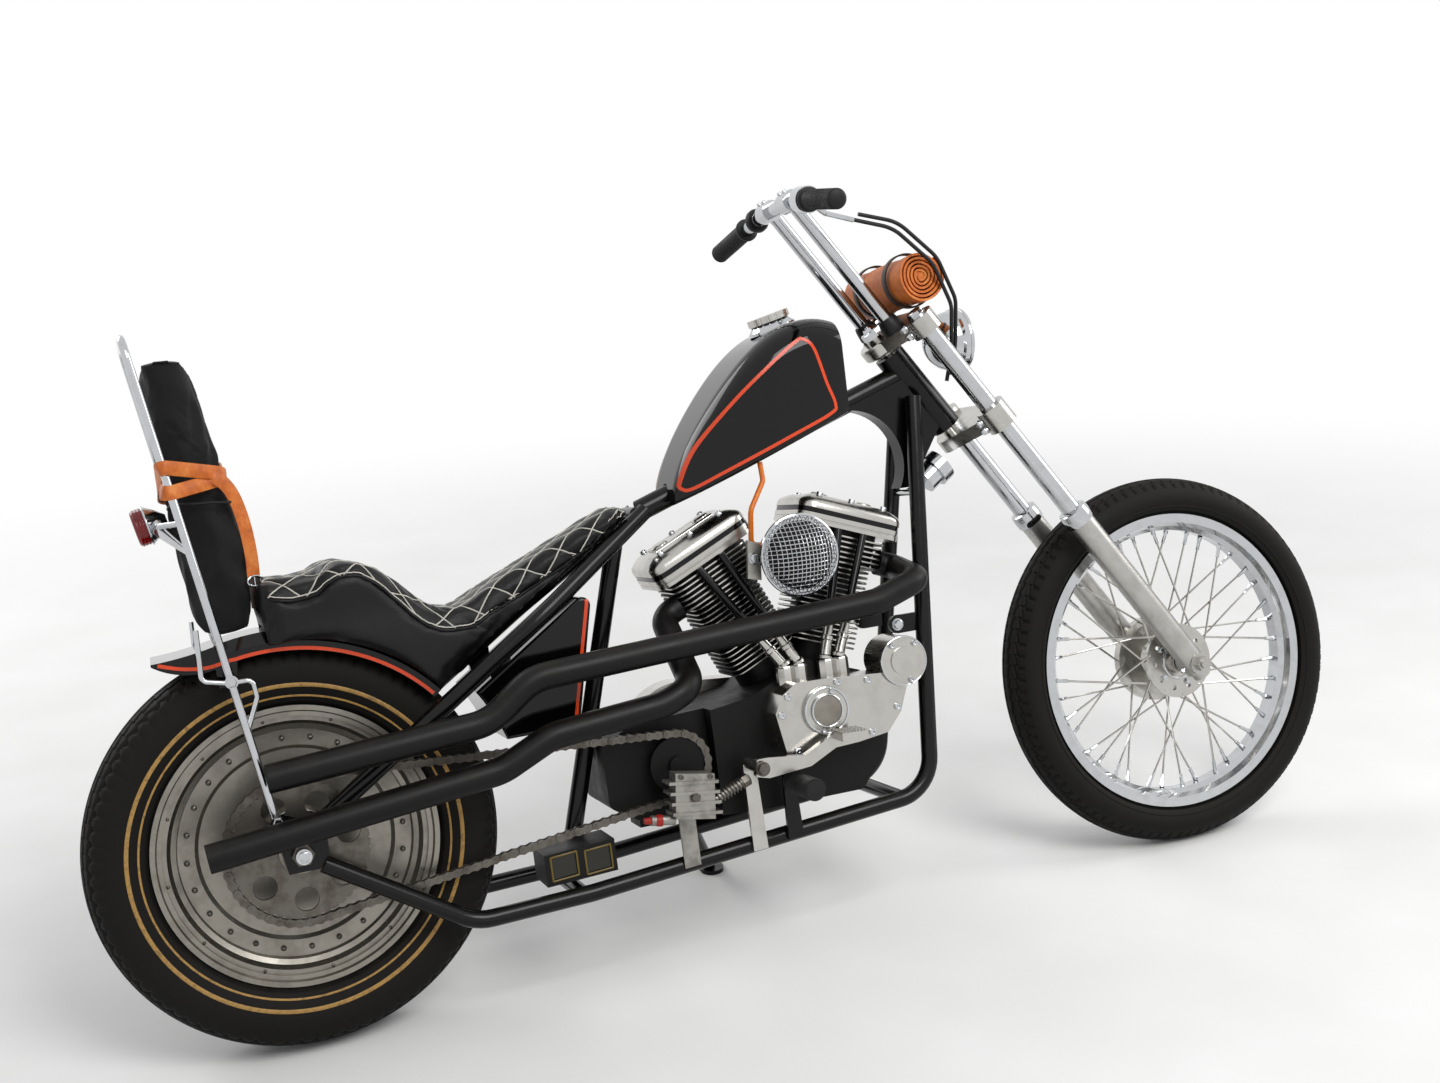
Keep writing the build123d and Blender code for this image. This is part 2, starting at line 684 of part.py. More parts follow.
def bag_at(z):
    """Centre x, half length and half width of the bag at a height."""
    for below, above in zip(BAG_SECTIONS, BAG_SECTIONS[1:]):
        if z <= above[0]:
            share = (z - below[0]) / (above[0] - below[0])
            return [a + (b - a) * share for a, b in zip(below[1:], above[1:])]


def bag_section(z, outward=0):
    """The bag's rounded section at a height, grown outward for the strap round it."""
    x, half_x, half_y = bag_at(z)
    corner = half_x * BAG_CORNER + outward
    with BuildSketch(Plane.XY.offset(z)) as section:
        with Locations((x, 0)):
            RectangleRounded(2 * (half_x + outward), 2 * (half_y + outward), corner)
    return section.sketch


BAG_CORNER = 0.75
with BuildPart() as bag_roll:
    loft([bag_section(level[0]) for level in BAG_SECTIONS], ruled=True)
bag_roll.part.label = "bag_roll"

# Leather strap: a band round the bag and its tail down the front
STRAP_GAP = 0.5
STRAP_THICK = 3
with BuildPart() as bag_strap:
    for outward, mode in ((STRAP_GAP + STRAP_THICK, Mode.ADD), (STRAP_GAP, Mode.SUBTRACT)):
        loft([bag_section(z, outward) for z in (905, 930)], ruled=True, mode=mode)
    tail_front = [(-35, 930), (-11, 800), (-12, 757)]
    tail_back = [(x + STRAP_THICK, z) for x, z in tail_front]
    plate(tail_front + tail_back[::-1], -34, -10)
bag_strap.part.label = "bag_strap"

# Engine: crankcase with the gearbox behind it, stepped in beside the chain
def cylinder_plane(tilt, height=0):
    """A plane square to a cylinder: local X forward along the head, normal up the bore."""
    t = radians(tilt)
    up = Vector(sin(t), 0, cos(t))
    base = Vector(CRANK[0], 0, CRANK[1]) + up * height
    return Plane(origin=base, x_dir=(cos(t), 0, -sin(t)), z_dir=up)


def on_cylinder(tilt, height, forward=0):
    """Side-view point at a height up a cylinder and forward along its head."""
    point = cylinder_plane(tilt, height).from_local_coords(Vector(forward, 0, 0))
    return (point.X, point.Z)


GEARBOX_WALL = -56
CASE_OUTLINE = [
    (998, 300),
    (1000, 400),
    on_cylinder(CYLINDER_TILTS[1], DECK, 62),
    on_cylinder(CYLINDER_TILTS[1], DECK, -40),
    on_cylinder(CYLINDER_TILTS[0], DECK, 40),
    on_cylinder(CYLINDER_TILTS[0], DECK, -66),
    (700, 425),
    (560, 418),
    (505, 392),
    (505, 286),
    (560, 252),
    (760, 240),
    (950, 240),
]
with BuildPart() as crankcase:
    plate(CASE_OUTLINE, -CASE_HALF, CASE_HALF, rounding=18)
    plate([(480, 230), (690, 230), (690, 440), (480, 440)], -CASE_HALF - 1, GEARBOX_WALL, Mode.SUBTRACT)
    disc(*DRIVE_CENTRE, 30, CHAIN_Y + 6, GEARBOX_WALL + 2)
    disc(*DRIVE_CENTRE, 16, CHAIN_Y - 12, CHAIN_Y + 6)
    with BuildSketch(side_plane(CHAIN_Y + SPROCKET_HALF_THICK)) as drive_sprocket:
        with Locations(DRIVE_CENTRE):
            Circle(pitch_radius(FRONT_TEETH) - CHAIN_INNER - SEAT_GAP)
    extrude(drive_sprocket.sketch, amount=2 * SPROCKET_HALF_THICK)
    plate([(560, 238), (600, 238), (600, 262), (560, 262)], -30, 30)
    bar((427, 0, 168), (595, 0, 742), 30 + 12, Mode.SUBTRACT)
crankcase.part.label = "crankcase"

# Engine: finned barrels and heads
FIN_PITCH = 9
FIN_THICK = 3.2
BARREL_FIN = (126, 118)
HEAD_FIN = (156, 126)
with BuildPart() as cylinders:
    for tilt in CYLINDER_TILTS:
        with BuildSketch(cylinder_plane(tilt, DECK)) as bore:
            Circle(52)
        extrude(bore.sketch, amount=BARREL_TOP - DECK)
        height = DECK + 32
        while height < HEAD_TOP - FIN_THICK - 4:
            size = BARREL_FIN if height < BARREL_TOP - 4 else HEAD_FIN
            with BuildSketch(cylinder_plane(tilt, height)) as fin:
                RectangleRounded(*size, 22)
            extrude(fin.sketch, amount=FIN_THICK)
            height += FIN_PITCH
        with BuildSketch(cylinder_plane(tilt, BARREL_TOP)) as head:
            RectangleRounded(128, 108, 20)
        extrude(head.sketch, amount=HEAD_TOP - BARREL_TOP)
cylinders.part.label = "cylinders"

with BuildPart() as rocker_boxes:
    for tilt in CYLINDER_TILTS:
        for low, high, length, width, corner in (
            (HEAD_TOP + SEAT_GAP, 363, 196, 150, 26),
            (363, 372, 188, 142, 22),
            (372, 387, 196, 150, 26),
            (387, ROCKER_TOP, 150, 112, 20),
        ):
            with BuildSketch(cylinder_plane(tilt, low)) as layer:
                RectangleRounded(length, width, corner)
            extrude(layer.sketch, amount=high - low)
rocker_boxes.part.label = "rocker_boxes"

# Engine: polished cam cover with its round end cap and the points cover
POINTS_CENTRE = (870, 400)
END_CAP_CENTRE = (1022, 459)
with BuildPart() as cam_cover:
    with BuildSketch(side_plane(-CASE_HALF)):
        with BuildLine():
            Polyline((781, 408), (797, 437), (824, 454), (890, 452), (962, 446), (988, 444))
            ThreePointArc((988, 444), (998, 425), (1024, 414))
            Polyline((1024, 414), (1008, 374), (980, 343), (925, 336), (812, 331), (793, 337), (781, 408))
        make_face()
        with Locations(END_CAP_CENTRE):
            Circle(42)
    extrude(amount=CAM_COVER_FACE - CASE_HALF)
    disc(*END_CAP_CENTRE, 42, -CAM_COVER_FACE, -CAM_COVER_FACE - 6)
    disc(*END_CAP_CENTRE, 24, -CAM_COVER_FACE - 6, -CAM_COVER_FACE - 9)
    disc(*POINTS_CENTRE, 40, -CAM_COVER_FACE, -CAM_COVER_FACE - 7)
    disc(*POINTS_CENTRE, 26, -CAM_COVER_FACE - 7, -CAM_COVER_FACE - 10)
cam_cover.part.label = "cam_cover"

# Engine: primary cover on the left
with BuildPart() as primary_cover:
    with BuildSketch(side_plane(CASE_HALF + 62)):
        with BuildLine():
            Line((880, 256), (690, 248))
            ThreePointArc((690, 248), (590, 352), (690, 456))
            Line((690, 456), (880, 440))
            ThreePointArc((880, 440), (972, 348), (880, 256))
        make_face()
    extrude(amount=62 - SEAT_GAP)
    chamfer(primary_cover.faces().sort_by(Axis.Y)[-1].edges(), 9)
    disc(690, 352, 62, CASE_HALF + 62, CASE_HALF + 68)
    disc(690, 256, 9, CASE_HALF + 10, CASE_HALF + 30)
primary_cover.part.label = "primary_cover"

# Engine: pushrod tubes with their tappet blocks
PUSHROD_FOOT_Y = -108
PUSHROD_TOP_Y = -71
CAM_CHEST_TOP = 455
with BuildPart() as pushrod_tubes:
    for foot_x, tilt, forward in ((826, -25, -26), (852, -25, 22), (902, 20, -24), (928, 20, 24)):
        top = on_cylinder(tilt, HEAD_TOP + 8, forward)
        foot = (foot_x, PUSHROD_FOOT_Y, CAM_CHEST_TOP + 24)
        bar(foot, (top[0], PUSHROD_TOP_Y, top[1]), 15)
        bar((foot_x, PUSHROD_FOOT_Y, CAM_CHEST_TOP - 20), foot, 24)
    for tilt in CYLINDER_TILTS:
        with BuildSketch(cylinder_plane(tilt, HEAD_TOP)) as head_face:
            Rectangle(200, 200)
        extrude(head_face.sketch, amount=30, mode=Mode.SUBTRACT)
    add(cam_cover.part, mode=Mode.SUBTRACT)
pushrod_tubes.part.label = "pushrod_tubes"

# Engine: carburettor between the cylinders and its domed air cleaner
AIR_CLEANER = (864, 664)
AIR_CLEANER_R = 68
with BuildPart() as air_cleaner:
    x, z = AIR_CLEANER
    dome_axle = Vector(x, 0, z)
    with BuildSketch(wheel_profile_plane(dome_axle)) as dome:
        with BuildLine():
            Polyline((6, -196), (0, -196), (0, -146), (AIR_CLEANER_R - 6, -146), (AIR_CLEANER_R, -152))
            ThreePointArc((AIR_CLEANER_R, -152), (44, -183), (6, -196))
        make_face()
    revolve(dome.sketch, axis=Axis(dome_axle, LEFT))
    disc(x, z, 28, -146, -112)
air_cleaner.part.label = "air_cleaner"

with BuildPart() as carburettor:
    x, z = AIR_CLEANER
    with BuildSketch(side_plane(-112 + SEAT_GAP)) as body:
        with Locations((x, z)):
            RectangleRounded(70, 66, 10)
    extrude(body.sketch, amount=-46)
    disc(x, z - 40, 26, -104, -72)
    disc(x, z, 19, -66 - SEAT_GAP, -20)
    plate([(776, 636), (800, 630), (806, 690), (784, 700)], -126, -118)
    bar((792, -118, 664), (832, -100, 664), 12)
    for tilt in CYLINDER_TILTS:
        mouth = on_cylinder(tilt, 318, 64 if tilt < 0 else -64)
        bar((x, -22, z), (mouth[0], -22, mouth[1]), 38)
    for tilt in CYLINDER_TILTS:
        with BuildSketch(cylinder_plane(tilt, DECK)) as head_room:
            Rectangle(HEAD_FIN[0] + 2 * SEAT_GAP, HEAD_FIN[1] + 2 * SEAT_GAP)
        extrude(head_room.sketch, amount=ROCKER_TOP - DECK, mode=Mode.SUBTRACT)
carburettor.part.label = "carburettor"

# Exhaust: two pipes swept back along the right side
with BuildPart() as exhaust_front:
    port = on_cylinder(CYLINDER_TILTS[1], 305, HEAD_FIN[0] / 2 + SEAT_GAP)
    elbow = on_cylinder(CYLINDER_TILTS[1], 305, 112)
    bent_tube(
        [
            (port[0], -30, port[1]),
            (elbow[0], -30, elbow[1]),
            (1076, -150, 592),
            (985, PIPE_Y, 567),
            (380, PIPE_Y, 537),
            (305, PIPE_Y, 481),
            (-38, PIPE_Y, 456),
        ],
        PIPE_D,
        [26, 34, 60, 90, 90],
    )
exhaust_front.part.label = "exhaust_front"

with BuildPart() as exhaust_rear:
    port = on_cylinder(CYLINDER_TILTS[0], 300, -HEAD_FIN[0] / 2 - SEAT_GAP)
    elbow = on_cylinder(CYLINDER_TILTS[0], 300, -114)
    bent_tube(
        [
            (port[0], -30, port[1]),
            (elbow[0], -30, elbow[1]),
            (645, -158, 480),
            (590, PIPE_Y, 459),
            (400, PIPE_Y, 442),
            (314, PIPE_Y, 403),
            (-138, PIPE_Y, 354),
        ],
        PIPE_D,
        [30, 40, 120, 100, 100],
    )
exhaust_rear.part.label = "exhaust_rear"

# Drive chain: one fixed loop with the outline of its links
def chain_loop_points():
    """Points half a pitch apart round the loop, with the outward direction at each."""
    rear_r = pitch_radius(REAR_TEETH)
    front_r = pitch_radius(FRONT_TEETH)
    rear = Vector(0, REAR_TYRE_R)
    front = Vector(*DRIVE_CENTRE)
    line = front - rear
    lean = atan2(line.Y, line.X)
    spread = asin((rear_r - front_r) / line.length)
    run = sqrt(line.length**2 - (rear_r - front_r) ** 2)
    upper = lean + pi / 2 - spread
    lower = lean - pi / 2 + spread
    front_wrap = upper - lower
    rear_wrap = 2 * pi - front_wrap
    total = 2 * run + front_wrap * front_r + rear_wrap * rear_r
    steps = 2 * round(total / CHAIN_PITCH)
    found = []
    for i in range(steps):
        s = total * i / steps
        if s < run:
            start = rear + Vector(cos(upper), sin(upper)) * rear_r
            found.append((start + Vector(cos(upper - pi / 2), sin(upper - pi / 2)) * s, upper))
            continue
        s -= run
        if s < front_wrap * front_r:
            a = upper - s / front_r
            found.append((front + Vector(cos(a), sin(a)) * front_r, a))
            continue
        s -= front_wrap * front_r
        if s < run:
            start = front + Vector(cos(lower), sin(lower)) * front_r
            found.append((start + Vector(cos(lower - pi / 2), sin(lower - pi / 2)) * s, lower))
            continue
        a = lower - (s - run) / rear_r
        found.append((rear + Vector(cos(a), sin(a)) * rear_r, a))
    return found


LINK_WIDE = 6.5
LINK_WAIST = 4.5
CHAIN_HALF_THICK = 8
with BuildPart() as drive_chain:
    loop = chain_loop_points()
    outside = []
    inside = []
    for i, (point, angle) in enumerate(loop):
        out = LINK_WAIST if i % 2 else LINK_WIDE
        normal = Vector(cos(angle), sin(angle))
        outside.append(point + normal * out)
        inside.append(point - normal * min(out, CHAIN_INNER - 0.5))
    with BuildSketch(side_plane(CHAIN_Y + CHAIN_HALF_THICK)):
        Polygon(*outside, align=None)
        Polygon(*inside, align=None, mode=Mode.SUBTRACT)
    extrude(amount=2 * CHAIN_HALF_THICK)
drive_chain.part.label = "drive_chain"

# Right-hand controls: brake pedal, its cylinder, and the foot pegs on both sides
BRACKET_Y = RAIL_HALF_SPACING + RAIL_D / 2 + SEAT_GAP
PEDAL_PIVOT = (733, 330)
with BuildPart() as brake_pedal:
    with BuildSketch(side_plane(-178)) as arm:
        with BuildLine():
            Polyline((722, 318), (745, 312), (820, 318), (880, 346), (912, 352), (912, 364), (872, 366))
            Polyline((872, 366), (812, 338), (745, 346), (726, 346), (722, 318))
        make_face()
        fillet(arm.vertices(), 4)
    extrude(arm.sketch, amount=14)
    plate([(868, 354), (914, 352), (914, 366), (868, 368)], -178, -226)
    cross_bar(*PEDAL_PIVOT, -198, -BRACKET_Y, 20)
    plate([(722, 182), (748, 184), (744, 330), (722, 330)], -BRACKET_Y, -BRACKET_Y - 7)
brake_pedal.part.label = "brake_pedal"

PEG_PLACE = (800, 290)
PRIMARY_FACE = CASE_HALF + 62
with BuildPart() as foot_pegs:
    x, z = PEG_PLACE
    for side, hanger_y in ((-1, BRACKET_Y), (1, PRIMARY_FACE + 8)):
        plate([(x - 14, 190), (x + 14, 192), (x + 10, z + 12), (x - 10, z + 12)], side * hanger_y, side * (hanger_y + 8))
        cross_bar(x, z, side * (hanger_y + 8), side * (hanger_y + 22), 16)
        cross_bar(x, z, side * (hanger_y + 22), side * 250, 34)
        cross_bar(x, 204, side * BRACKET_Y, side * (hanger_y + 4), 18)
foot_pegs.part.label = "foot_pegs"

with BuildPart() as shift_lever:
    with BuildSketch(side_plane(190)) as arm:
        with BuildLine():
            Polyline((822, 250), (842, 246), (925, 300), (925, 312), (912, 312), (826, 268), (822, 250))
        make_face()
    extrude(arm.sketch, amount=10)
    cross_bar(918, 306, 188, 226, 20)
    cross_bar(833, 257, CASE_HALF + 62 + SEAT_GAP, 190, 14)
shift_lever.part.label = "shift_lever"

with BuildPart() as master_cylinder:
    plate([(585, 270), (652, 258), (660, 332), (594, 344)], -129, -165)
    for i in range(4):
        low = 276 + 17 * i
        plate([(580, low), (664, low - 11), (665, low - 6), (581, low + 5)], -126, -168)
    bar((588, -146, 266), (548, -146, 272), 17)
    bar((655, -146, 284), (716, -146, 306), 15)
    plate([(600, 178), (628, 180), (628, 268), (600, 268)], -BRACKET_Y, -BRACKET_Y - 5)
master_cylinder.part.label = "master_cylinder"

# Electrics: box with two framed panels, under the gearbox
with BuildPart() as electrics_box:
    plate([(374, 188), (494, 193), (494, 246), (374, 240)], -100, -15 - SEAT_GAP)
    for x in (384, 442):
        plate([(x, 196), (x + 44, 199), (x + 44, 238), (x, 235)], -100, -96, Mode.SUBTRACT)
electrics_box.part.label = "electrics_box"

# Rear brake caliper beside its disc, on the left axle plate
with BuildPart() as rear_caliper:
    plate([(98, 394), (160, 372), (150, 328), (92, 348)], 62, 92)
    disc(0, REAR_TYRE_R, BRAKE_DISC_R + 5, BRAKE_DISC_Y[0] - 5, BRAKE_DISC_Y[1] + 5, Mode.SUBTRACT)
    plate([(96, 350), (114, 350), (114, 384), (96, 384)], 90, PLATE_OUTER - PLATE_THICK - SEAT_GAP)
    plate(
        [(16, 323), (60, 318), (112, 346), (112, 384), (62, 358), (20, 336), (16, 335)],
        99,
        PLATE_OUTER - PLATE_THICK - SEAT_GAP,
    )
rear_caliper.part.label = "rear_caliper"

# Orange fuel line from the tank to the carburettor
with BuildPart() as fuel_line:
    bent_tube(
        [(838, -88, 826), (838, -92, 794), (803, -108, 748), (800, -96, 686), (828.3, -96, 686)],
        9,
        [14, 24, 14],
    )
fuel_line.part.label = "fuel_line"

# Fork trees with the steering stem, turning in the head tube
TREE_HALF = 12
CLAMP_HALF = 22
with BuildPart() as fork_trees:
    for along, clamp_r in ((LOWER_TREE, 28), (UPPER_TREE, 28)):
        with BuildSketch(fork_plane(along - TREE_HALF)) as tree:
            with Locations((0, FORK_HALF_SPACING), (0, -FORK_HALF_SPACING)):
                Circle(23)
            with Locations((-FORK_OFFSET, 0)):
                Circle(32)
            make_hull()
        extrude(tree.sketch, amount=2 * TREE_HALF)
        for side in SIDES:
            with BuildSketch(fork_plane(along - CLAMP_HALF, 0, side * FORK_HALF_SPACING)) as clamp:
                Circle(clamp_r)
            extrude(clamp.sketch, amount=CLAMP_HALF + (CLAMP_HALF if along == LOWER_TREE else TREE_HALF))
            bore_start = on_fork(along - 40, 0, side * FORK_HALF_SPACING)
            bore_end = on_fork(along + 40, 0, side * FORK_HALF_SPACING)
            bar(bore_start, bore_end, TUBE_D + 2 * RUNNING_FIT, Mode.SUBTRACT)
    bar(on_fork(LOWER_TREE, -FORK_OFFSET), on_fork(UPPER_TREE + 16, -FORK_OFFSET), 26)
    for along in (HEAD_LOW + 2, HEAD_HIGH - 18):
        start = on_fork(along, -FORK_OFFSET)
        bar(start, on_fork(along + 16, -FORK_OFFSET), 2 * (HEAD_BORE_R - RUNNING_FIT))
    bar(on_fork(UPPER_TREE + TREE_HALF, -FORK_OFFSET), on_fork(UPPER_TREE + 20, -FORK_OFFSET), 36)
fork_trees.part.label = "fork_trees"

with BuildPart() as fork_tubes:
    for side in SIDES:
        foot = on_fork(SLIDER_TOP + SEAT_GAP, 0, side * FORK_HALF_SPACING)
        top = on_fork(UPPER_TREE + TREE_HALF + 4, 0, side * FORK_HALF_SPACING)
        bar(foot, top, TUBE_D)
fork_tubes.part.label = "fork_tubes"

with BuildPart() as fork_sliders:
    for side in SIDES:
        y = side * FORK_HALF_SPACING
        bar(on_fork(-14, 0, y), on_fork(SLIDER_TOP - 24, 0, y), SLIDER_D)
        bar(on_fork(SLIDER_TOP - 24, 0, y), on_fork(SLIDER_TOP, 0, y), SLIDER_D + 5)
        bar(on_fork(-30, 0, y), on_fork(-14, 0, y), SLIDER_D - 12)
        disc(WHEELBASE, FRONT_AXLE_Z, 21, side * 62, side * 114)
        hex_nut(WHEELBASE, FRONT_AXLE_Z, side * 114, side * 124, 24)
    cross_bar(WHEELBASE, FRONT_AXLE_Z, -128, 128, 2 * FRONT_AXLE_R)
fork_sliders.part.label = "fork_sliders"

# Handlebar on two straight risers
BAR_FORWARD = RISER_FORWARD - 4


def along_bar(y):
    """Point on one of the handlebar's outer stretches at a sideways distance."""
    side = 1 if y > 0 else -1
    elbow_y = RISER_HALF_SPACING + 20
    inner = on_fork(RISER_TOP, BAR_FORWARD, side * elbow_y)
    outer = on_fork(RISER_TOP - 22, BAR_FORWARD - 34, side * BAR_HALF_WIDTH)
    share = (abs(y) - elbow_y) / (BAR_HALF_WIDTH - elbow_y)
    return inner + (outer - inner) * share


with BuildPart() as handlebar:
    for side in SIDES:
        y = side * RISER_HALF_SPACING
        foot = on_fork(UPPER_TREE + TREE_HALF + SEAT_GAP, RISER_FORWARD, y)
        bar(foot, on_fork(RISER_TOP - 10, RISER_FORWARD, y), RISER_D)
        clamp_side = on_fork(RISER_TOP, BAR_FORWARD, y - 19)
        bar(clamp_side, clamp_side + LEFT * 38, 38)
    elbow_y = RISER_HALF_SPACING + 20
    ends = BAR_HALF_WIDTH - 4
    bar_points = [along_bar(y) for y in (-ends, -elbow_y, elbow_y, ends)]
    bent_tube([tuple(point) for point in bar_points], BAR_D, [60, 60])
handlebar.part.label = "handlebar"


with BuildPart() as grips:
    for side in SIDES:
        inner = along_bar(side * GRIP_START)
        outer = along_bar(side * BAR_HALF_WIDTH)
        bar(inner, outer, GRIP_D)
        bar(inner, along_bar(side * (GRIP_START + 6)), GRIP_D + 8)
        bore_start = along_bar(side * (GRIP_START - 2))
        bar(bore_start, along_bar(side * (BAR_HALF_WIDTH - 3.8)), BAR_D + 2 * RUNNING_FIT, Mode.SUBTRACT)
grips.part.label = "grips"

# Throttle drum and clutch perch ring on the bar
with BuildPart() as bar_controls:
    bar(along_bar(-(GRIP_START - 1)), along_bar(-(GRIP_START - 36)), 46)
    start = along_bar(-(GRIP_START - 18))
    elbow_mid = start + Vector(34, 0, -26)
    bar(start, elbow_mid, 10)
    bar(elbow_mid, elbow_mid + Vector(52, 6, -14), 9)
    bar(along_bar(112), along_bar(96), 36)
    bar(along_bar(-200), along_bar(-80), BAR_D + 2 * RUNNING_FIT, Mode.SUBTRACT)
    bar(along_bar(80), along_bar(200), BAR_D + 2 * RUNNING_FIT, Mode.SUBTRACT)
bar_controls.part.label = "bar_controls"

# Headlight: chrome shell between the fork tubes with a glass lens
HEADLIGHT_FRONT = (1288, 998)
HEADLIGHT_R = 57
with BuildPart() as headlight_shell:
    x, z = HEADLIGHT_FRONT
    shell_axis = Vector(x, 0, z)
    profile_plane = Plane(origin=shell_axis, x_dir=(0, 0, 1), z_dir=(0, -1, 0))
    with BuildSketch(profile_plane) as shell:
        with BuildLine():
            Polyline((0, 10), (HEADLIGHT_R - 5, 10), (HEADLIGHT_R - 5, 0), (HEADLIGHT_R, 0))
            Polyline((HEADLIGHT_R, 0), (HEADLIGHT_R, 14), (HEADLIGHT_R - 3, 18))
            ThreePointArc((HEADLIGHT_R - 3, 18), (40, 52), (6, 68))
            Polyline((6, 68), (0, 68), (0, 10))
        make_face()
    revolve(shell.sketch, axis=Axis(shell_axis, (1, 0, 0)))
    bar((x - 34, 0, z + 40), on_fork(UPPER_TREE, -6), 14)
    with BuildSketch(fork_plane(UPPER_TREE - TREE_HALF - SEAT_GAP)) as tree_room:
        Rectangle(160, 80)
    extrude(tree_room.sketch, amount=60, mode=Mode.SUBTRACT)
headlight_shell.part.label = "headlight_shell"

with BuildPart() as headlight_lens:
    x, z = HEADLIGHT_FRONT
    with BuildSketch(Plane(origin=(x - 10 + SEAT_GAP, 0, z), x_dir=(0, 1, 0), z_dir=(1, 0, 0))):
        Circle(HEADLIGHT_R - 5 - SEAT_GAP)
    extrude(amount=8)
headlight_lens.part.label = "headlight_lens"

# Horn on the downtubes under the lower tree
with BuildPart() as horn:
    centre = on_fork(596, -126)
    bar(centre - AHEAD * 26, centre, 50)
    bar(centre, centre + AHEAD * 22, 62)
    bar(centre - AHEAD * 20, (1144, 0, 735), 10)
    bar((1144, -37, 735), (1144, 37, 735), 12)
horn.part.label = "horn"

# Leather tool roll across the front of the risers
with BuildPart() as tool_roll:
    near = on_fork(897, 45, -108)
    far = on_fork(897, 29, 108)
    bar(near, far, 96)
    fillet(tool_roll.edges(), 8)
tool_roll.part.label = "tool_roll"

# Throttle cables, in one loop round the near end of the roll and down beside the head
CABLE_D = 7
CABLE_ROUTE = (
    # forward and up from the elbow's tip, and the sideways place
    (1.5, 0, -126),
    (72, -20, -128),
    (140, -86, -126),
    (178, -160, -104),
    (188, -236, -64),
    (172, -290, -62),
)
with BuildPart() as control_cables:
    tip = elbow_mid + Vector(52, 6, -14)
    for outward in (0, 10):
        bent_tube(
            [(tip.X + ahead, side_y, tip.Z + up + outward * 0.7) for ahead, up, side_y in CABLE_ROUTE]
            if not outward
            else [
                (tip.X + ahead + outward, side_y + 1, tip.Z + up + (outward if i else 9))
                for i, (ahead, up, side_y) in enumerate(CABLE_ROUTE)
            ],
            CABLE_D,
            [80, 70, 60, 60],
        )
control_cables.part.label = "control_cables"

# Side stand
with BuildPart() as side_stand:
    bar(STAND_PIVOT + STAND_LEG * 15.5, STAND_FOOT + GROUND_UP * FOOT_THICK, 22)
    with BuildSketch(Plane(origin=STAND_FOOT, z_dir=GROUND_UP)) as foot_pad:
        SlotOverall(70, 44)
    extrude(foot_pad.sketch, amount=FOOT_THICK)
    with BuildSketch(Plane(origin=STAND_FOOT, z_dir=GROUND_UP)) as below_ground:
        Rectangle(120, 120)
    extrude(below_ground.sketch, amount=-40, mode=Mode.SUBTRACT)
    bar(STAND_PIVOT - STAND_AXIS * STAND_BOSS_HALF, STAND_PIVOT + STAND_AXIS * STAND_BOSS_HALF, 38)
    bore_low = STAND_PIVOT - STAND_AXIS * 20
    bar(bore_low, STAND_PIVOT + STAND_AXIS * 20, STAND_PIN_D + 2 * RUNNING_FIT, Mode.SUBTRACT)
side_stand.part.label = "side_stand"

PIECES = [
    rear_tyre,
    rear_wheel_disc,
    rear_sprocket,
    rear_brake_disc,
    front_tyre,
    front_rim,
    front_hub,
    rear_axle,
    frame_cradle,
    frame_stays,
    tank,
    tank_cap,
    oil_tank,
    rear_fender,
    seat,
    sissy_bar,
    tail_light,
    tail_lens,
    bag_roll,
    bag_strap,
    crankcase,
    cylinders,
    rocker_boxes,
    cam_cover,
    primary_cover,
    pushrod_tubes,
    air_cleaner,
    carburettor,
    exhaust_front,
    exhaust_rear,
    drive_chain,
    brake_pedal,
    foot_pegs,
    shift_lever,
    master_cylinder,
    electrics_box,
    rear_caliper,
    fuel_line,
    fork_trees,
    fork_tubes,
    fork_sliders,
    handlebar,
    grips,
    bar_controls,
    headlight_shell,
    headlight_lens,
    horn,
    tool_roll,
    control_cables,
    side_stand,
]

# The machine leans to its left, and the origin is the middle of its footprint
def leaned(shape):
    return shape.moved(Location((0, 0, 0), (-LEAN, 0, 0)))


boxes = [leaned(piece.part).bounding_box() for piece in PIECES]
low = [min(getattr(box.min, axis) for box in boxes) for axis in "XYZ"]
high = [max(getattr(box.max, axis) for box in boxes) for axis in "XYZ"]
STAND_AT = Location((-(low[0] + high[0]) / 2, -(low[1] + high[1]) / 2, -low[2]))

if __name__ == "__main__":
    os.makedirs("parts", exist_ok=True)
    for piece in PIECES:
        finished = leaned(piece.part).moved(STAND_AT)
        finished.label = piece.part.label
        export_step(finished, f"parts/{finished.label}.step")
    print("box", [round(v, 2) for v in low + high])
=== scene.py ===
"""Dresses a rigid-frame chopper on its side stand: finishes for its solids, and fine pieces on them."""

import json
from math import cos, pi, radians, sin

import bmesh
import bpy
import numpy as np
from mathutils import Matrix, Vector
from mathutils.bvhtree import BVHTree


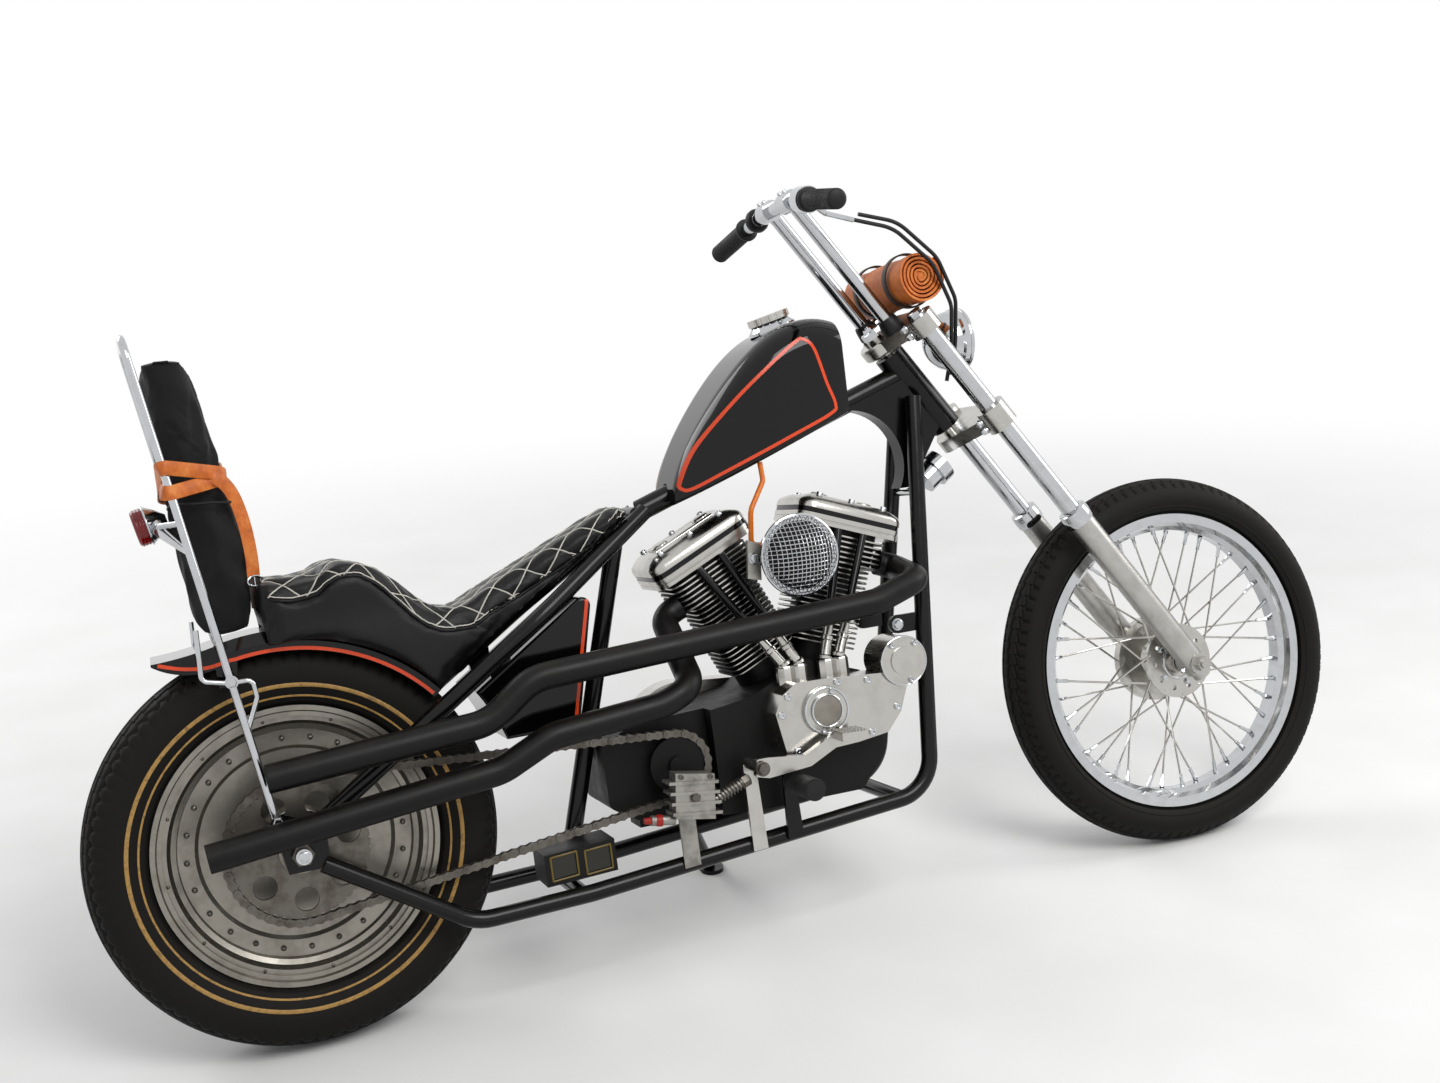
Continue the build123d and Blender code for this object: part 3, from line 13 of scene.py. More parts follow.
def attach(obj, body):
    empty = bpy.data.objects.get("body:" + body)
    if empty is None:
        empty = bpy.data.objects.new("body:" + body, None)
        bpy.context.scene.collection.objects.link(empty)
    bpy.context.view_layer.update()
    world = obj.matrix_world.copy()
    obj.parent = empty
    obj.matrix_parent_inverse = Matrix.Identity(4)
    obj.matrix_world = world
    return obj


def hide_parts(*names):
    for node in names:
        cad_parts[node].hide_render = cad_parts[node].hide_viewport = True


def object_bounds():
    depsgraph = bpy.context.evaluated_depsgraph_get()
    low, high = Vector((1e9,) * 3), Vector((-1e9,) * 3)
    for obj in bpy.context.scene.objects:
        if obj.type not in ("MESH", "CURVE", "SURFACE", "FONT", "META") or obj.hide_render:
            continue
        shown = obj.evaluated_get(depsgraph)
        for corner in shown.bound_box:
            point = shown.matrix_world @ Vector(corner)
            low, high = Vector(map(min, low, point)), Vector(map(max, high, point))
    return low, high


bl_info = {
    "name": "Chopper Dressing",
    "version": (1, 0, 0),
    "blender": (4, 5, 0),
    "location": "View3D > Sidebar > Chopper",
    "description": "Finishes and fine pieces for a rigid-frame chopper on its side stand",
    "category": "Object",
}

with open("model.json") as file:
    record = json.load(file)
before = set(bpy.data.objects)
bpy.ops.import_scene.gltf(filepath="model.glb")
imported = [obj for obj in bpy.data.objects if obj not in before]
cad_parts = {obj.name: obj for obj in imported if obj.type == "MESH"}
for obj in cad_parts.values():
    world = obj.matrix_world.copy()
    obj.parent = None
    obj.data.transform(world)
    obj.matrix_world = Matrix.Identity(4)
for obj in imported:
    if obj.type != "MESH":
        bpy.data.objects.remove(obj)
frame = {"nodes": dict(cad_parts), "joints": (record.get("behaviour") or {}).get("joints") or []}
CAD_BOX = [list(corner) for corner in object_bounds()]
NODES = frame["nodes"]

# The machine is drawn upright in millimetres, X forward from under the rear axle, Y to
# the rider's left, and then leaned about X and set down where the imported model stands.
LEAN = radians(12)
REAR_TYRE_R = 324
FRONT_TYRE_R = 347
WHEELBASE = 1645
FRONT_AXLE_Z = 345.936
RAKE = radians(34.5)
FORK_HALF_SPACING = 89
TO_WORLD = np.array([[1, 0, 0], [0, cos(LEAN), sin(LEAN)], [0, -sin(LEAN), cos(LEAN)]])
PIVOTS = {joint["name"]: np.array(joint["pos_m"]) for joint in frame["joints"]}
SET_DOWN = PIVOTS["rear_wheel_spin"] - TO_WORLD @ (0, 0, REAR_TYRE_R / 1000)
UP_FORK = np.array([-sin(RAKE), 0, cos(RAKE)])
AHEAD = np.array([cos(RAKE), 0, sin(RAKE)])
LEFT = np.array([0, 1, 0])
FRONT_AXLE = np.array([WHEELBASE, 0, FRONT_AXLE_Z])
REAR_AXLE = np.array([0, 0, REAR_TYRE_R])
SIDES = (-1, 1)


def place(points):
    """Upright mm as leaned metres: p / 1000, turned by the lean about X and moved to the stand."""
    return np.asarray(points, float) / 1000 @ TO_WORLD.T + SET_DOWN


def upright(points):
    """The inverse of place: leaned metres back to upright mm."""
    return (np.asarray(points, float) - SET_DOWN) @ TO_WORLD * 1000


def on_fork(along, forward=0, left=0):
    """Point at distances up the fork from the front axle, ahead of it and to the left, in upright mm."""
    return FRONT_AXLE + UP_FORK * along + AHEAD * forward + LEFT * left


# Surfaces: each is a pair of points (rows x columns x 3, upright mm) and its quads


def grid(points, wrap=(False, False)):
    """Quads between neighbouring points of a rows x columns grid, closed in a direction that wraps."""
    points = np.asarray(points, float)
    rows, columns = points.shape[:2]
    r, c = np.meshgrid(
        np.arange(rows if wrap[0] else rows - 1),
        np.arange(columns if wrap[1] else columns - 1),
        indexing="ij",
    )
    r2, c2 = (r + 1) % rows, (c + 1) % columns
    corners = [r * columns + c, r2 * columns + c, r2 * columns + c2, r * columns + c2]
    return points.reshape(-1, 3), np.stack(corners, -1).reshape(-1, 4)


def square_to(axis):
    """Two unit directions square to an axis and to each other."""
    axis = np.asarray(axis, float) / np.linalg.norm(axis)
    helper = np.array([0, 0, 1.0]) if abs(axis[2]) < 0.9 else np.array([1.0, 0, 0])
    first = np.cross(helper, axis)
    first /= np.linalg.norm(first)
    return first, np.cross(axis, first)


def turned(profile, centre, axis, steps=48, phase=0.0):
    """A profile of (distance d, radius r) carried round an axis a: centre + a d + r (u cos t + v sin t)."""
    profile = np.asarray(profile, float)
    axis = np.asarray(axis, float) / np.linalg.norm(axis)
    u, v = square_to(axis)
    t = np.linspace(0, 2 * pi, steps, endpoint=False) + phase
    round_ = np.cos(t)[:, None] * u + np.sin(t)[:, None] * v
    along = profile[:, 0][:, None, None] * axis
    out = profile[:, 1][:, None, None] * round_[None]
    return grid(np.asarray(centre, float) + along + out, (False, True))


def ring(radius, half_width, depth, centre, axis, steps=64):
    """A hoop of oval section: radius r + h sin s, and d cos s along the axis, s round the section."""
    s = np.linspace(0, 2 * pi, 9)
    profile = np.stack([depth * np.cos(s), radius + half_width * np.sin(s)], -1)
    return turned(profile, centre, axis, steps)


def section_path(path, section, wrap=False, reference=LEFT, scale=1.0, caps=True):
    """A section carried along a path: p + k (a n + b s), n the reference made square to it, s across."""
    path = np.asarray(path, float)
    section = np.asarray(section, float)
    scale = np.broadcast_to(np.asarray(scale, float), len(path))
    if wrap:
        run = np.roll(path, -1, 0) - np.roll(path, 1, 0)
    else:
        run = np.gradient(path, axis=0)
    run /= np.linalg.norm(run, axis=1)[:, None]
    reference = np.broadcast_to(np.asarray(reference, float), path.shape)
    normal = reference - (run * reference).sum(1)[:, None] * run
    normal /= np.linalg.norm(normal, axis=1)[:, None]
    side = np.cross(run, normal)
    offset = section[None, :, 0, None] * normal[:, None] + section[None, :, 1, None] * side[:, None]
    rings = path[:, None] + scale[:, None, None] * offset
    if wrap or not caps:
        return grid(rings, (wrap, True))
    ends = np.repeat(path[[0, -1]][:, None], len(section), axis=1)
    return grid(np.concatenate([ends[:1], rings, ends[1:]]), (False, True))


def circle(radius, sides=10):
    """Points round a circle: (r cos t, r sin t)."""
    t = np.linspace(0, 2 * pi, sides, endpoint=False)
    return radius * np.stack([np.cos(t), np.sin(t)], -1)


def strap_section(thickness, width):
    """A flat strap's section with eased edges, thickness along the reference and width across."""
    a, b = thickness / 2, width / 2
    return [(a, -b + a), (a, b - a), (a * 0.3, b), (-a, b - a), (-a, -b + a), (a * 0.3, -b)]


def smooth_path(points, count, closed=False):
    """Points on a Catmull-Rom spline: a weighted sum of the four given points about each run."""
    p = np.asarray(points, float)
    if closed:
        p = np.vstack([p[-1:], p, p[:2]])
    else:
        p = np.vstack([2 * p[0] - p[1], p, 2 * p[-1] - p[-2]])
    runs = len(p) - 3
    s = np.linspace(0, runs, count, endpoint=not closed)
    i = np.minimum(s.astype(int), runs - 1)
    t = (s - i)[:, None]
    a, b, c, d = p[i], p[i + 1], p[i + 2], p[i + 3]
    return 0.5 * (2 * b + (c - a) * t + (2 * a - 5 * b + 4 * c - d) * t**2 + (3 * b - a - 3 * c + d) * t**3)


def three_point_arc(start, middle, end, count):
    """Points on the circle through three, first to last past the middle: c + r (cos t, sin t)."""
    a, b, c = (complex(*p) for p in (start, middle, end))
    w = (c - a) / (b - a)
    centre = (b - a) * (w - abs(w) ** 2) / (2j * w.imag) + a
    first, mid, last = (np.angle(p - centre) for p in (a, b, c))
    sweep = (last - first) % (2 * pi)
    if (mid - first) % (2 * pi) > sweep:
        sweep -= 2 * pi
    t = first + np.linspace(0, sweep, count)
    radius = abs(a - centre)
    return np.stack([centre.real + radius * np.cos(t), centre.imag + radius * np.sin(t)], -1)


def rounded_rectangle(width, depth, corner, per_corner=6):
    """A rectangle with round corners: corner centres plus r (cos t, sin t) over each quarter turn."""
    t = np.linspace(0, pi / 2, per_corner)
    quarter = corner * np.stack([np.cos(t), np.sin(t)], -1)
    x, y = width / 2 - corner, depth / 2 - corner
    turns = [(x, y, 1, 0), (-x, y, 0, 1), (-x, -y, -1, 0), (x, -y, 0, -1)]
    parts = [
        np.stack([cx + c * quarter[:, 0] - s * quarter[:, 1], cy + s * quarter[:, 0] + c * quarter[:, 1]], -1)
        for cx, cy, c, s in turns
    ]
    return np.concatenate(parts)


def hexagon_head(centre, axis, across=13, height=7, washer=1.5):
    """A bolt head: six-sided profile with a chamfered rim, on a round washer."""
    r = across / 2 / cos(radians(30))
    top = washer + height
    head = [(washer, 0), (washer, r), (washer + height * 0.85, r), (top, r * 0.86), (top, 0)]
    under = [(-0.3, 0), (-0.3, r * 1.25), (washer, r * 1.25), (washer, 0)]
    return [turned(head, centre, axis, 6), turned(under, centre, axis, 16)]


def socket_head(centre, axis, diameter=11, height=6):
    """A socket screw: round head with a recess in its face."""
    r = diameter / 2
    head = [(-0.3, 0), (-0.3, r), (height * 0.85, r), (height, r * 0.88)]
    recess = [(height, r * 0.5), (height * 0.4, r * 0.48), (height * 0.4, 0)]
    return [turned(head + recess, centre, axis, 14)]


def dome_head(centre, axis, diameter=7, height=2.6):
    """A rivet: the profile of a flattened ball, r sin t across and h cos t high."""
    t = np.linspace(0, pi / 2, 5)
    profile = np.stack([height * np.cos(t), diameter / 2 * np.sin(t)], -1)
    return [turned(np.vstack([profile, [(-0.3, diameter / 2)]]), centre, axis, 10)]


# Points of one surface nearer than this, in metres, become one
MERGE = 0.00002


def build(name, patches, body, finish_name, slot, replaces=(), crease=38):
    """One object from surfaces in upright mm: merged, faced outward and smooth below the crease angle."""
    counts = np.cumsum([0] + [len(points) for points, quads in patches])
    points = place(np.concatenate([points for points, quads in patches]))
    quads = np.concatenate([quads + first for (_, quads), first in zip(patches, counts)])
    mesh = bpy.data.meshes.new(name)
    mesh.vertices.add(len(points))
    mesh.vertices.foreach_set("co", points.ravel())
    mesh.loops.add(quads.size)
    mesh.loops.foreach_set("vertex_index", quads.ravel().astype(np.int32))
    mesh.polygons.add(len(quads))
    mesh.polygons.foreach_set("loop_start", np.arange(len(quads), dtype=np.int32) * 4)
    mesh.polygons.foreach_set("loop_total", np.full(len(quads), 4, np.int32))
    mesh.update(calc_edges=True)
    shell = bmesh.new()
    shell.from_mesh(mesh)
    bmesh.ops.remove_doubles(shell, verts=shell.verts, dist=MERGE)
    bmesh.ops.recalc_face_normals(shell, faces=shell.faces)
    shell.to_mesh(mesh)
    shell.free()
    mesh.validate()
    return settle(name, mesh, body, finish_name, replaces, crease)


def settle(name, mesh, body, finish_name, replaces=(), crease=38):
    """Puts a finished mesh in the scene with its material and body, and hides the solids it replaces."""
    mesh.shade_smooth()
    mesh.set_sharp_from_angle(angle=radians(crease))
    piece = bpy.data.objects.new(name, mesh)
    bpy.context.scene.collection.objects.link(piece)
    mesh.materials.clear()
    mesh.materials.append(finish(finish_name))
    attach(piece, body)
    if replaces:
        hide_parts(*replaces)
    return piece


SURFACES = {}


def surface_of(name):
    """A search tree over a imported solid's faces, in upright mm."""
    if name not in SURFACES:
        mesh = NODES[name].data if name in NODES else bpy.data.objects[name].data
        points = np.empty(len(mesh.vertices) * 3)
        mesh.vertices.foreach_get("co", points)
        faces = [tuple(polygon.vertices) for polygon in mesh.polygons]
        SURFACES[name] = BVHTree.FromPolygons(upright(points.reshape(-1, 3)).tolist(), faces)
    return SURFACES[name]


def cast(name, points, direction):
    """Where rays from the points first meet a solid, or else lie nearest to it, and the normals there."""
    tree = surface_of(name)
    hits = [tree.ray_cast(Vector(p), Vector(direction)) for p in points]
    hits = [hit if hit[0] is not None else tree.find_nearest(Vector(p)) for hit, p in zip(hits, points)]
    return np.array([hit[0] for hit in hits]), np.array([hit[1] for hit in hits])


# A painted path whose ends lie nearer than this, in mm, is a loop
CLOSING_GAP = 12


def painted_line(name, path, side, width, lift=0.7):
    """A line of paint: three courses of a side-view path cast onto a solid and lifted along its normals."""
    path = np.asarray(path, float)
    run = np.gradient(path, axis=0)
    run /= np.linalg.norm(run, axis=1)[:, None]
    across = np.stack([-run[:, 1], run[:, 0]], -1) * width / 2
    found = []
    for way in (-1, 0, 1):
        flat = path + way * across
        start = np.stack([flat[:, 0], np.full(len(flat), side * 400.0), flat[:, 1]], -1)
        found.append(cast(name, start, (0, -side, 0)))
    (low, low_out), (middle, middle_out), (high, high_out) = found
    low_out, middle_out, high_out = lift * low_out, lift * middle_out, lift * high_out
    rows = np.stack([low - low_out, low + low_out, middle + middle_out, high + high_out, high - high_out], 1)
    if np.linalg.norm(path[0] - path[-1]) < CLOSING_GAP:
        return grid(rows, (True, True))
    ends = np.repeat(rows[[0, -1]].mean(1)[:, None], 5, axis=1)
    return grid(np.concatenate([ends[:1], rows, ends[1:]]), (False, True))


# Materials


def linear(code, alpha=1.0):
    """An sRGB hex colour as linear red, green, blue and alpha."""
    srgb = np.array([int(code[i : i + 2], 16) / 255 for i in (1, 3, 5)])
    value = np.where(srgb <= 0.04045, srgb / 12.92, ((srgb + 0.055) / 1.055) ** 2.4)
    return (*value, alpha)


def node(tree, kind, inputs=None, stops=None, **settings):
    """Adds a shader node: its settings, the stops of a ramp, and each input's value or link."""
    made = tree.nodes.new("ShaderNode" + kind)
    for name, value in settings.items():
        setattr(made, name, value)
    for i, (position, code) in enumerate(stops or ()):
        band = made.color_ramp.elements
        element = band[i] if i < len(band) else band.new(position)
        element.position = position
        element.color = linear(code)
    for name, value in (inputs or {}).items():
        if isinstance(value, bpy.types.NodeSocket):
            tree.links.new(value, made.inputs[name])
        else:
            made.inputs[name].default_value = value
    return made


def start_material(name):
    """A new node material with its shader and the object's own coordinates in metres."""
    material = bpy.data.materials.new(name)
    material.use_nodes = True
    tree = material.node_tree
    return material, tree, tree.nodes["Principled BSDF"], node(tree, "TexCoord").outputs["Object"]


def weather(tree, shader, cloud, fine, colour, levels, strength, height):
    """Ends a material: its colour, roughness from the clouds, and the grain as a bump of a height in mm."""
    low, high, smooth, dull = levels
    rough = node(tree, "MapRange", {0: cloud.outputs["Fac"], 1: low, 2: high, 3: smooth, 4: dull})
    relief = {"Height": fine.outputs["Fac"], "Strength": strength, "Distance": height / 1000}
    raised = node(tree, "Bump", relief)
    tree.links.new(colour, shader.inputs["Base Color"])
    tree.links.new(rough.outputs[0], shader.inputs["Roughness"])
    tree.links.new(raised.outputs["Normal"], shader.inputs["Normal"])


def metal(name, code, stain, stain_share, smooth, dull, cloud_mm, grain_mm, grain_height):
    """Bare or plated metal: clouds of stain and dullness, and a fine grain; sizes and heights in mm."""
    material, tree, shader, at = start_material(name)
    shader.inputs["Metallic"].default_value = 1.0
    cloud = node(tree, "TexNoise", {"Vector": at, "Scale": 1000 / cloud_mm, "Detail": 8.0, "Roughness": 0.65})
    fine = node(tree, "TexNoise", {"Vector": at, "Scale": 1000 / grain_mm, "Detail": 3.0})
    worn = node(tree, "MapRange", {0: cloud.outputs["Fac"], 1: 0.45, 2: 0.75, 3: 0.0, 4: stain_share})
    colour = node(tree, "Mix", {0: worn.outputs[0], 6: linear(code), 7: linear(stain)}, data_type="RGBA")
    levels = (0.3, 0.75, smooth, dull)
    weather(tree, shader, cloud, fine, colour.outputs[2], levels, 0.5, grain_height)
    return material


def coating(name, code, dust, dust_share, smooth, dull, grain_mm, grain_height, specular=0.3):
    """Paint, rubber or plastic: one colour under dust on what faces up, and a grain; sizes in mm."""
    material, tree, shader, at = start_material(name)
    shader.inputs["Specular IOR Level"].default_value = specular
    cloud = node(tree, "TexNoise", {"Vector": at, "Scale": 30.0, "Detail": 8.0, "Roughness": 0.7})
    fine = node(tree, "TexNoise", {"Vector": at, "Scale": 1000 / grain_mm, "Detail": 3.0})
    facing = node(tree, "SeparateXYZ", {0: node(tree, "NewGeometry").outputs["Normal"]})
    level = node(tree, "MapRange", {0: facing.outputs["Z"], 1: 0.0, 2: 1.0, 3: 0.15, 4: 1.0})
    patches = node(tree, "MapRange", {0: cloud.outputs["Fac"], 1: 0.35, 2: 0.8, 3: 0.0, 4: dust_share})
    film = node(tree, "Math", {0: level.outputs[0], 1: patches.outputs[0]}, operation="MULTIPLY")
    colour = node(tree, "Mix", {0: film.outputs[0], 6: linear(code), 7: linear(dust)}, data_type="RGBA")
    levels = (0.3, 0.8, smooth, dull)
    weather(tree, shader, cloud, fine, colour.outputs[2], levels, 0.4, grain_height)
    return material


def clouded(name, stops, smooth, dull, cloud_mm, grain_mm, grain_height, specular=0.4):
    """A colour drifting through its stops in clouds, with a grain: leather, thread, worn paint, and the sooty
    black at the pipe mouths that is partly painted shade.
    """
    material, tree, shader, at = start_material(name)
    shader.inputs["Specular IOR Level"].default_value = specular
    cloud = node(tree, "TexNoise", {"Vector": at, "Scale": 1000 / cloud_mm, "Detail": 8.0, "Roughness": 0.65})
    fine = node(tree, "TexNoise", {"Vector": at, "Scale": 1000 / grain_mm, "Detail": 4.0})
    colour = node(tree, "ValToRGB", {"Fac": cloud.outputs["Fac"]}, stops=stops)
    levels = (0.3, 0.8, smooth, dull)
    weather(tree, shader, cloud, fine, colour.outputs["Color"], levels, 0.5, grain_height)
    return material


METALS = {
    # Chromium plate on polished steel: mirror bright, with a haze of fine pits
    "chromium_plate": ("#bfc1c4", "#9a9895", 0.3, 0.05, 0.16, 22, 1.1, 0.008),
    # Cast aluminium buffed by hand: bright and slightly milky
    "buffed_cast_aluminium": ("#bab8b3", "#918d86", 0.4, 0.16, 0.3, 40, 3.0, 0.01),
    # Cast wheel face, buffed once and gone grey with brake dust
    "greyed_wheel_aluminium": ("#8c8880", "#57524a", 0.6, 0.26, 0.44, 45, 2.4, 0.02),
    # Sand-cast aluminium left raw: dull grey, dark with oil and road dirt in places
    "raw_sand_cast_aluminium": ("#97958f", "#47433d", 0.75, 0.36, 0.6, 36, 0.9, 0.1),
    # Machined aluminium fork slider: satin grey with a weathered bloom
    "satin_machined_aluminium": ("#b3b1ad", "#84817c", 0.6, 0.26, 0.44, 50, 1.6, 0.02),
    # Machined steel with an oil film and brown dust
    "oiled_machined_steel": ("#67635d", "#3a3028", 0.75, 0.28, 0.5, 30, 1.4, 0.03),
    # Bright rims of the fins, where the black has been machined off
    "milled_fin_edge": ("#c2c0bb", "#77736c", 0.5, 0.2, 0.4, 25, 1.2, 0.02),
}

COATINGS = {
    # Two-pack enamel, sprayed and polished: deep gloss, orange peel a few mm long
    "gloss_black_enamel": ("#040405", "#55504a", 0.03, 0.03, 0.09, 5.0, 0.02, 0.3),
    # The same enamel on frame tubes: less polished and dustier
    "frame_black_enamel": ("#070707", "#5a5449", 0.08, 0.14, 0.3, 3.5, 0.04, 0.25),
    # Blackened castings round the gearbox and the box below, scuffed and dusty
    "blackened_casting": ("#0c0c0c", "#403a31", 0.2, 0.4, 0.62, 1.2, 0.1, 0.18),
    # Barrels and heads under heat-proof black
    "black_cast_iron": ("#0a0a0a", "#332e28", 0.2, 0.36, 0.6, 0.9, 0.1, 0.2),
    # Heat-proof paint on steel pipe: satin black, browned on top
    "heatproof_black_on_steel": ("#0a0a0a", "#4a4238", 0.16, 0.34, 0.5, 1.3, 0.05, 0.2),
    # Vulcanised road rubber: near black with a brown-grey bloom
    "vulcanised_road_rubber": ("#100f0e", "#453f33", 0.3, 0.6, 0.82, 0.8, 0.08, 0.15),
    # Moulded rubber of grips and pegs: even and slightly greasy
    "moulded_black_rubber": ("#0e0e0e", "#3c3933", 0.15, 0.42, 0.6, 0.7, 0.05, 0.28),
    # Extruded PVC over a wound cable
    "black_cable_sheath": ("#0b0b0b", "#35322d", 0.1, 0.34, 0.45, 2.0, 0.02, 0.35),
    # Signwriter's enamel of the lines: orange-red, brushed
    "orange_red_line_enamel": ("#d9451b", "#a8876c", 0.08, 0.16, 0.3, 2.0, 0.02, 0.4),
    # Red rubber tip of the brake hose's union
    "red_rubber_boot": ("#9c1f16", "#5a4a40", 0.15, 0.4, 0.55, 1.5, 0.03, 0.3),
    # Smoked window of a fuse panel
    "smoked_olive_plastic": ("#17160b", "#4c4636", 0.25, 0.12, 0.3, 6.0, 0.02, 0.4),
    # Amber edge of the fuse panels
    "amber_plastic_frame": ("#6d5a1c", "#554a33", 0.25, 0.3, 0.45, 2.0, 0.03, 0.35),
}

CLOUDED = {
    # Vegetable-tanned cowhide, oiled: orange-tan, darker where it creases
    "oiled_tan_cowhide": (((0.25, "#a04a18"), (0.5, "#c96a26"), (0.75, "#de9048")), 0.4, 0.6, 26, 1.1, 0.15),
    # Dark harness leather of the roll's straps
    "dark_harness_leather": (((0.3, "#1d1411"), (0.75, "#38251b")), 0.4, 0.55, 20, 1.4, 0.15),
    # Gold-tan lines on the tyre: paint rubbed thin over rubber
    "worn_gold_tyre_line": (((0.3, "#80643a"), (0.5, "#ad8646"), (0.72, "#5c4830")), 0.5, 0.65, 14, 1.5, 0.1),
    # Bonded polyester thread of the quilting
    "grey_white_bonded_thread": (((0.3, "#b9b6ab"), (0.8, "#dcd9cf")), 0.55, 0.7, 5, 1.0, 0.1),
    # Soot on the inside of a pipe, and painted shade: this near-black goes on flat discs at the pipe mouths,
    # which stand in for the shade down the hollow pipes
    "pipe_soot_and_painted_shade": (((0.3, "#060505"), (0.8, "#120f0d")), 0.85, 0.95, 11, 1.0, 0.1),
    # Oiled foam of the air filter behind its wire
    "oiled_filter_foam": (((0.3, "#0a0a0a"), (0.8, "#1b1916")), 0.8, 0.95, 8, 1.2, 0.6),
}


def fuel_hose():
    """Translucent orange polyurethane fuel hose: smooth, glowing a little where it is thin."""
    material = clouded("orange_fuel_hose", ((0.3, "#cf650f"), (0.8, "#e0801f")), 0.25, 0.35, 16, 3.0, 0.02)
    shader = material.node_tree.nodes["Principled BSDF"]
    shader.inputs["Subsurface Weight"].default_value = 0.15
    shader.inputs["Subsurface Radius"].default_value = (0.004, 0.002, 0.001)
    return material


def red_lens():
    """Moulded red acrylic over a bright reflector."""
    material = clouded("red_acrylic", ((0.3, "#7c0a0b"), (0.8, "#9a100e")), 0.05, 0.1, 20, 6.0, 0.02, 0.5)
    material.node_tree.nodes["Principled BSDF"].inputs["Transmission Weight"].default_value = 0.25
    return material


def lamp_glass():
    """Clear pressed glass with upright flutes about 6 mm wide, over a bright bowl."""
    material, tree, shader, at = start_material("fluted_lamp_glass")
    tint = node(tree, "TexNoise", {"Vector": at, "Scale": 30.0})
    colour = node(tree, "ValToRGB", {"Fac": tint.outputs["Fac"]}, stops=((0.3, "#dfe6ea"), (0.8, "#eef2f4")))
    # A wave of scale s has a band every pi / (10 s) metres, so 50 gives about 6 mm
    flutes = node(tree, "TexWave", {"Vector": at, "Scale": 50.0}, bands_direction="Y")
    raised = node(tree, "Bump", {"Height": flutes.outputs["Fac"], "Strength": 0.4, "Distance": 0.0008})
    tree.links.new(colour.outputs["Color"], shader.inputs["Base Color"])
    tree.links.new(raised.outputs["Normal"], shader.inputs["Normal"])
    shader.inputs["Roughness"].default_value = 0.05
    shader.inputs["Transmission Weight"].default_value = 0.7
    shader.inputs["IOR"].default_value = 1.5
    return material


def seat_vinyl():
    """Leather-grain vinyl stretched over foam: black, soft sheen, grain cells about 1.2 mm."""
    material = coating("leather_grain_vinyl", "#0b0b0b", "#4b463e", 0.05, 0.34, 0.46, 9.0, 0.4, 0.22)
    tree = material.node_tree
    shader = tree.nodes["Principled BSDF"]
    at = tree.nodes["Texture Coordinate"].outputs["Object"]
    cells = node(tree, "TexVoronoi", {"Vector": at, "Scale": 820.0}, feature="DISTANCE_TO_EDGE")
    walls = node(tree, "MapRange", {0: cells.outputs["Distance"], 1: 0.0, 2: 0.18, 3: 0.0, 4: 1.0})
    under = shader.inputs["Normal"].links[0].from_socket
    grain = {"Height": walls.outputs[0], "Strength": 0.4, "Distance": 0.00015, "Normal": under}
    raised = node(tree, "Bump", grain)
    tree.links.new(raised.outputs["Normal"], shader.inputs["Normal"])
    return material


def bag_nylon():
    """Woven nylon: black, threads drawn about 2 mm apart so that they show, dusty in its folds."""
    material = coating("black_woven_nylon", "#0e0e0f", "#544d43", 0.16, 0.72, 0.9, 16.0, 1.2, 0.2)
    tree = material.node_tree
    shader = tree.nodes["Principled BSDF"]
    at = tree.nodes["Texture Coordinate"].outputs["Object"]
    level = node(tree, "Mapping", {"Vector": at, "Rotation": (LEAN, 0.0, 0.0)})
    # A wave of scale s has a band every pi / (10 s) metres, so 157 gives 2 mm
    weft = node(tree, "TexWave", {"Vector": level.outputs[0], "Scale": 157.0}, bands_direction="Z")
    warp = node(tree, "TexWave", {"Vector": level.outputs[0], "Scale": 157.0}, bands_direction="DIAGONAL")
    weave = node(tree, "Math", {0: warp.outputs["Fac"], 1: weft.outputs["Fac"]}, operation="MULTIPLY")
    under = shader.inputs["Normal"].links[0].from_socket
    threads = {"Height": weave.outputs[0], "Strength": 0.3, "Distance": 0.0003, "Normal": under}
    raised = node(tree, "Bump", threads)
    tree.links.new(raised.outputs["Normal"], shader.inputs["Normal"])
    shader.inputs["Sheen Weight"].default_value = 0.08
    return material


SPECIAL = {
    "orange_fuel_hose": fuel_hose,
    "red_acrylic": red_lens,
    "fluted_lamp_glass": lamp_glass,
    "leather_grain_vinyl": seat_vinyl,
    "black_woven_nylon": bag_nylon,
}
MADE = {}


def finish(name):
    """The material of a finish, made the first time it is asked for."""
    if name not in MADE:
        if name in METALS:
            MADE[name] = metal(name, *METALS[name])
        elif name in COATINGS:
            MADE[name] = coating(name, *COATINGS[name])
        elif name in CLOUDED:
            MADE[name] = clouded(name, *CLOUDED[name])
        else:
            MADE[name] = SPECIAL[name]()
    return MADE[name]


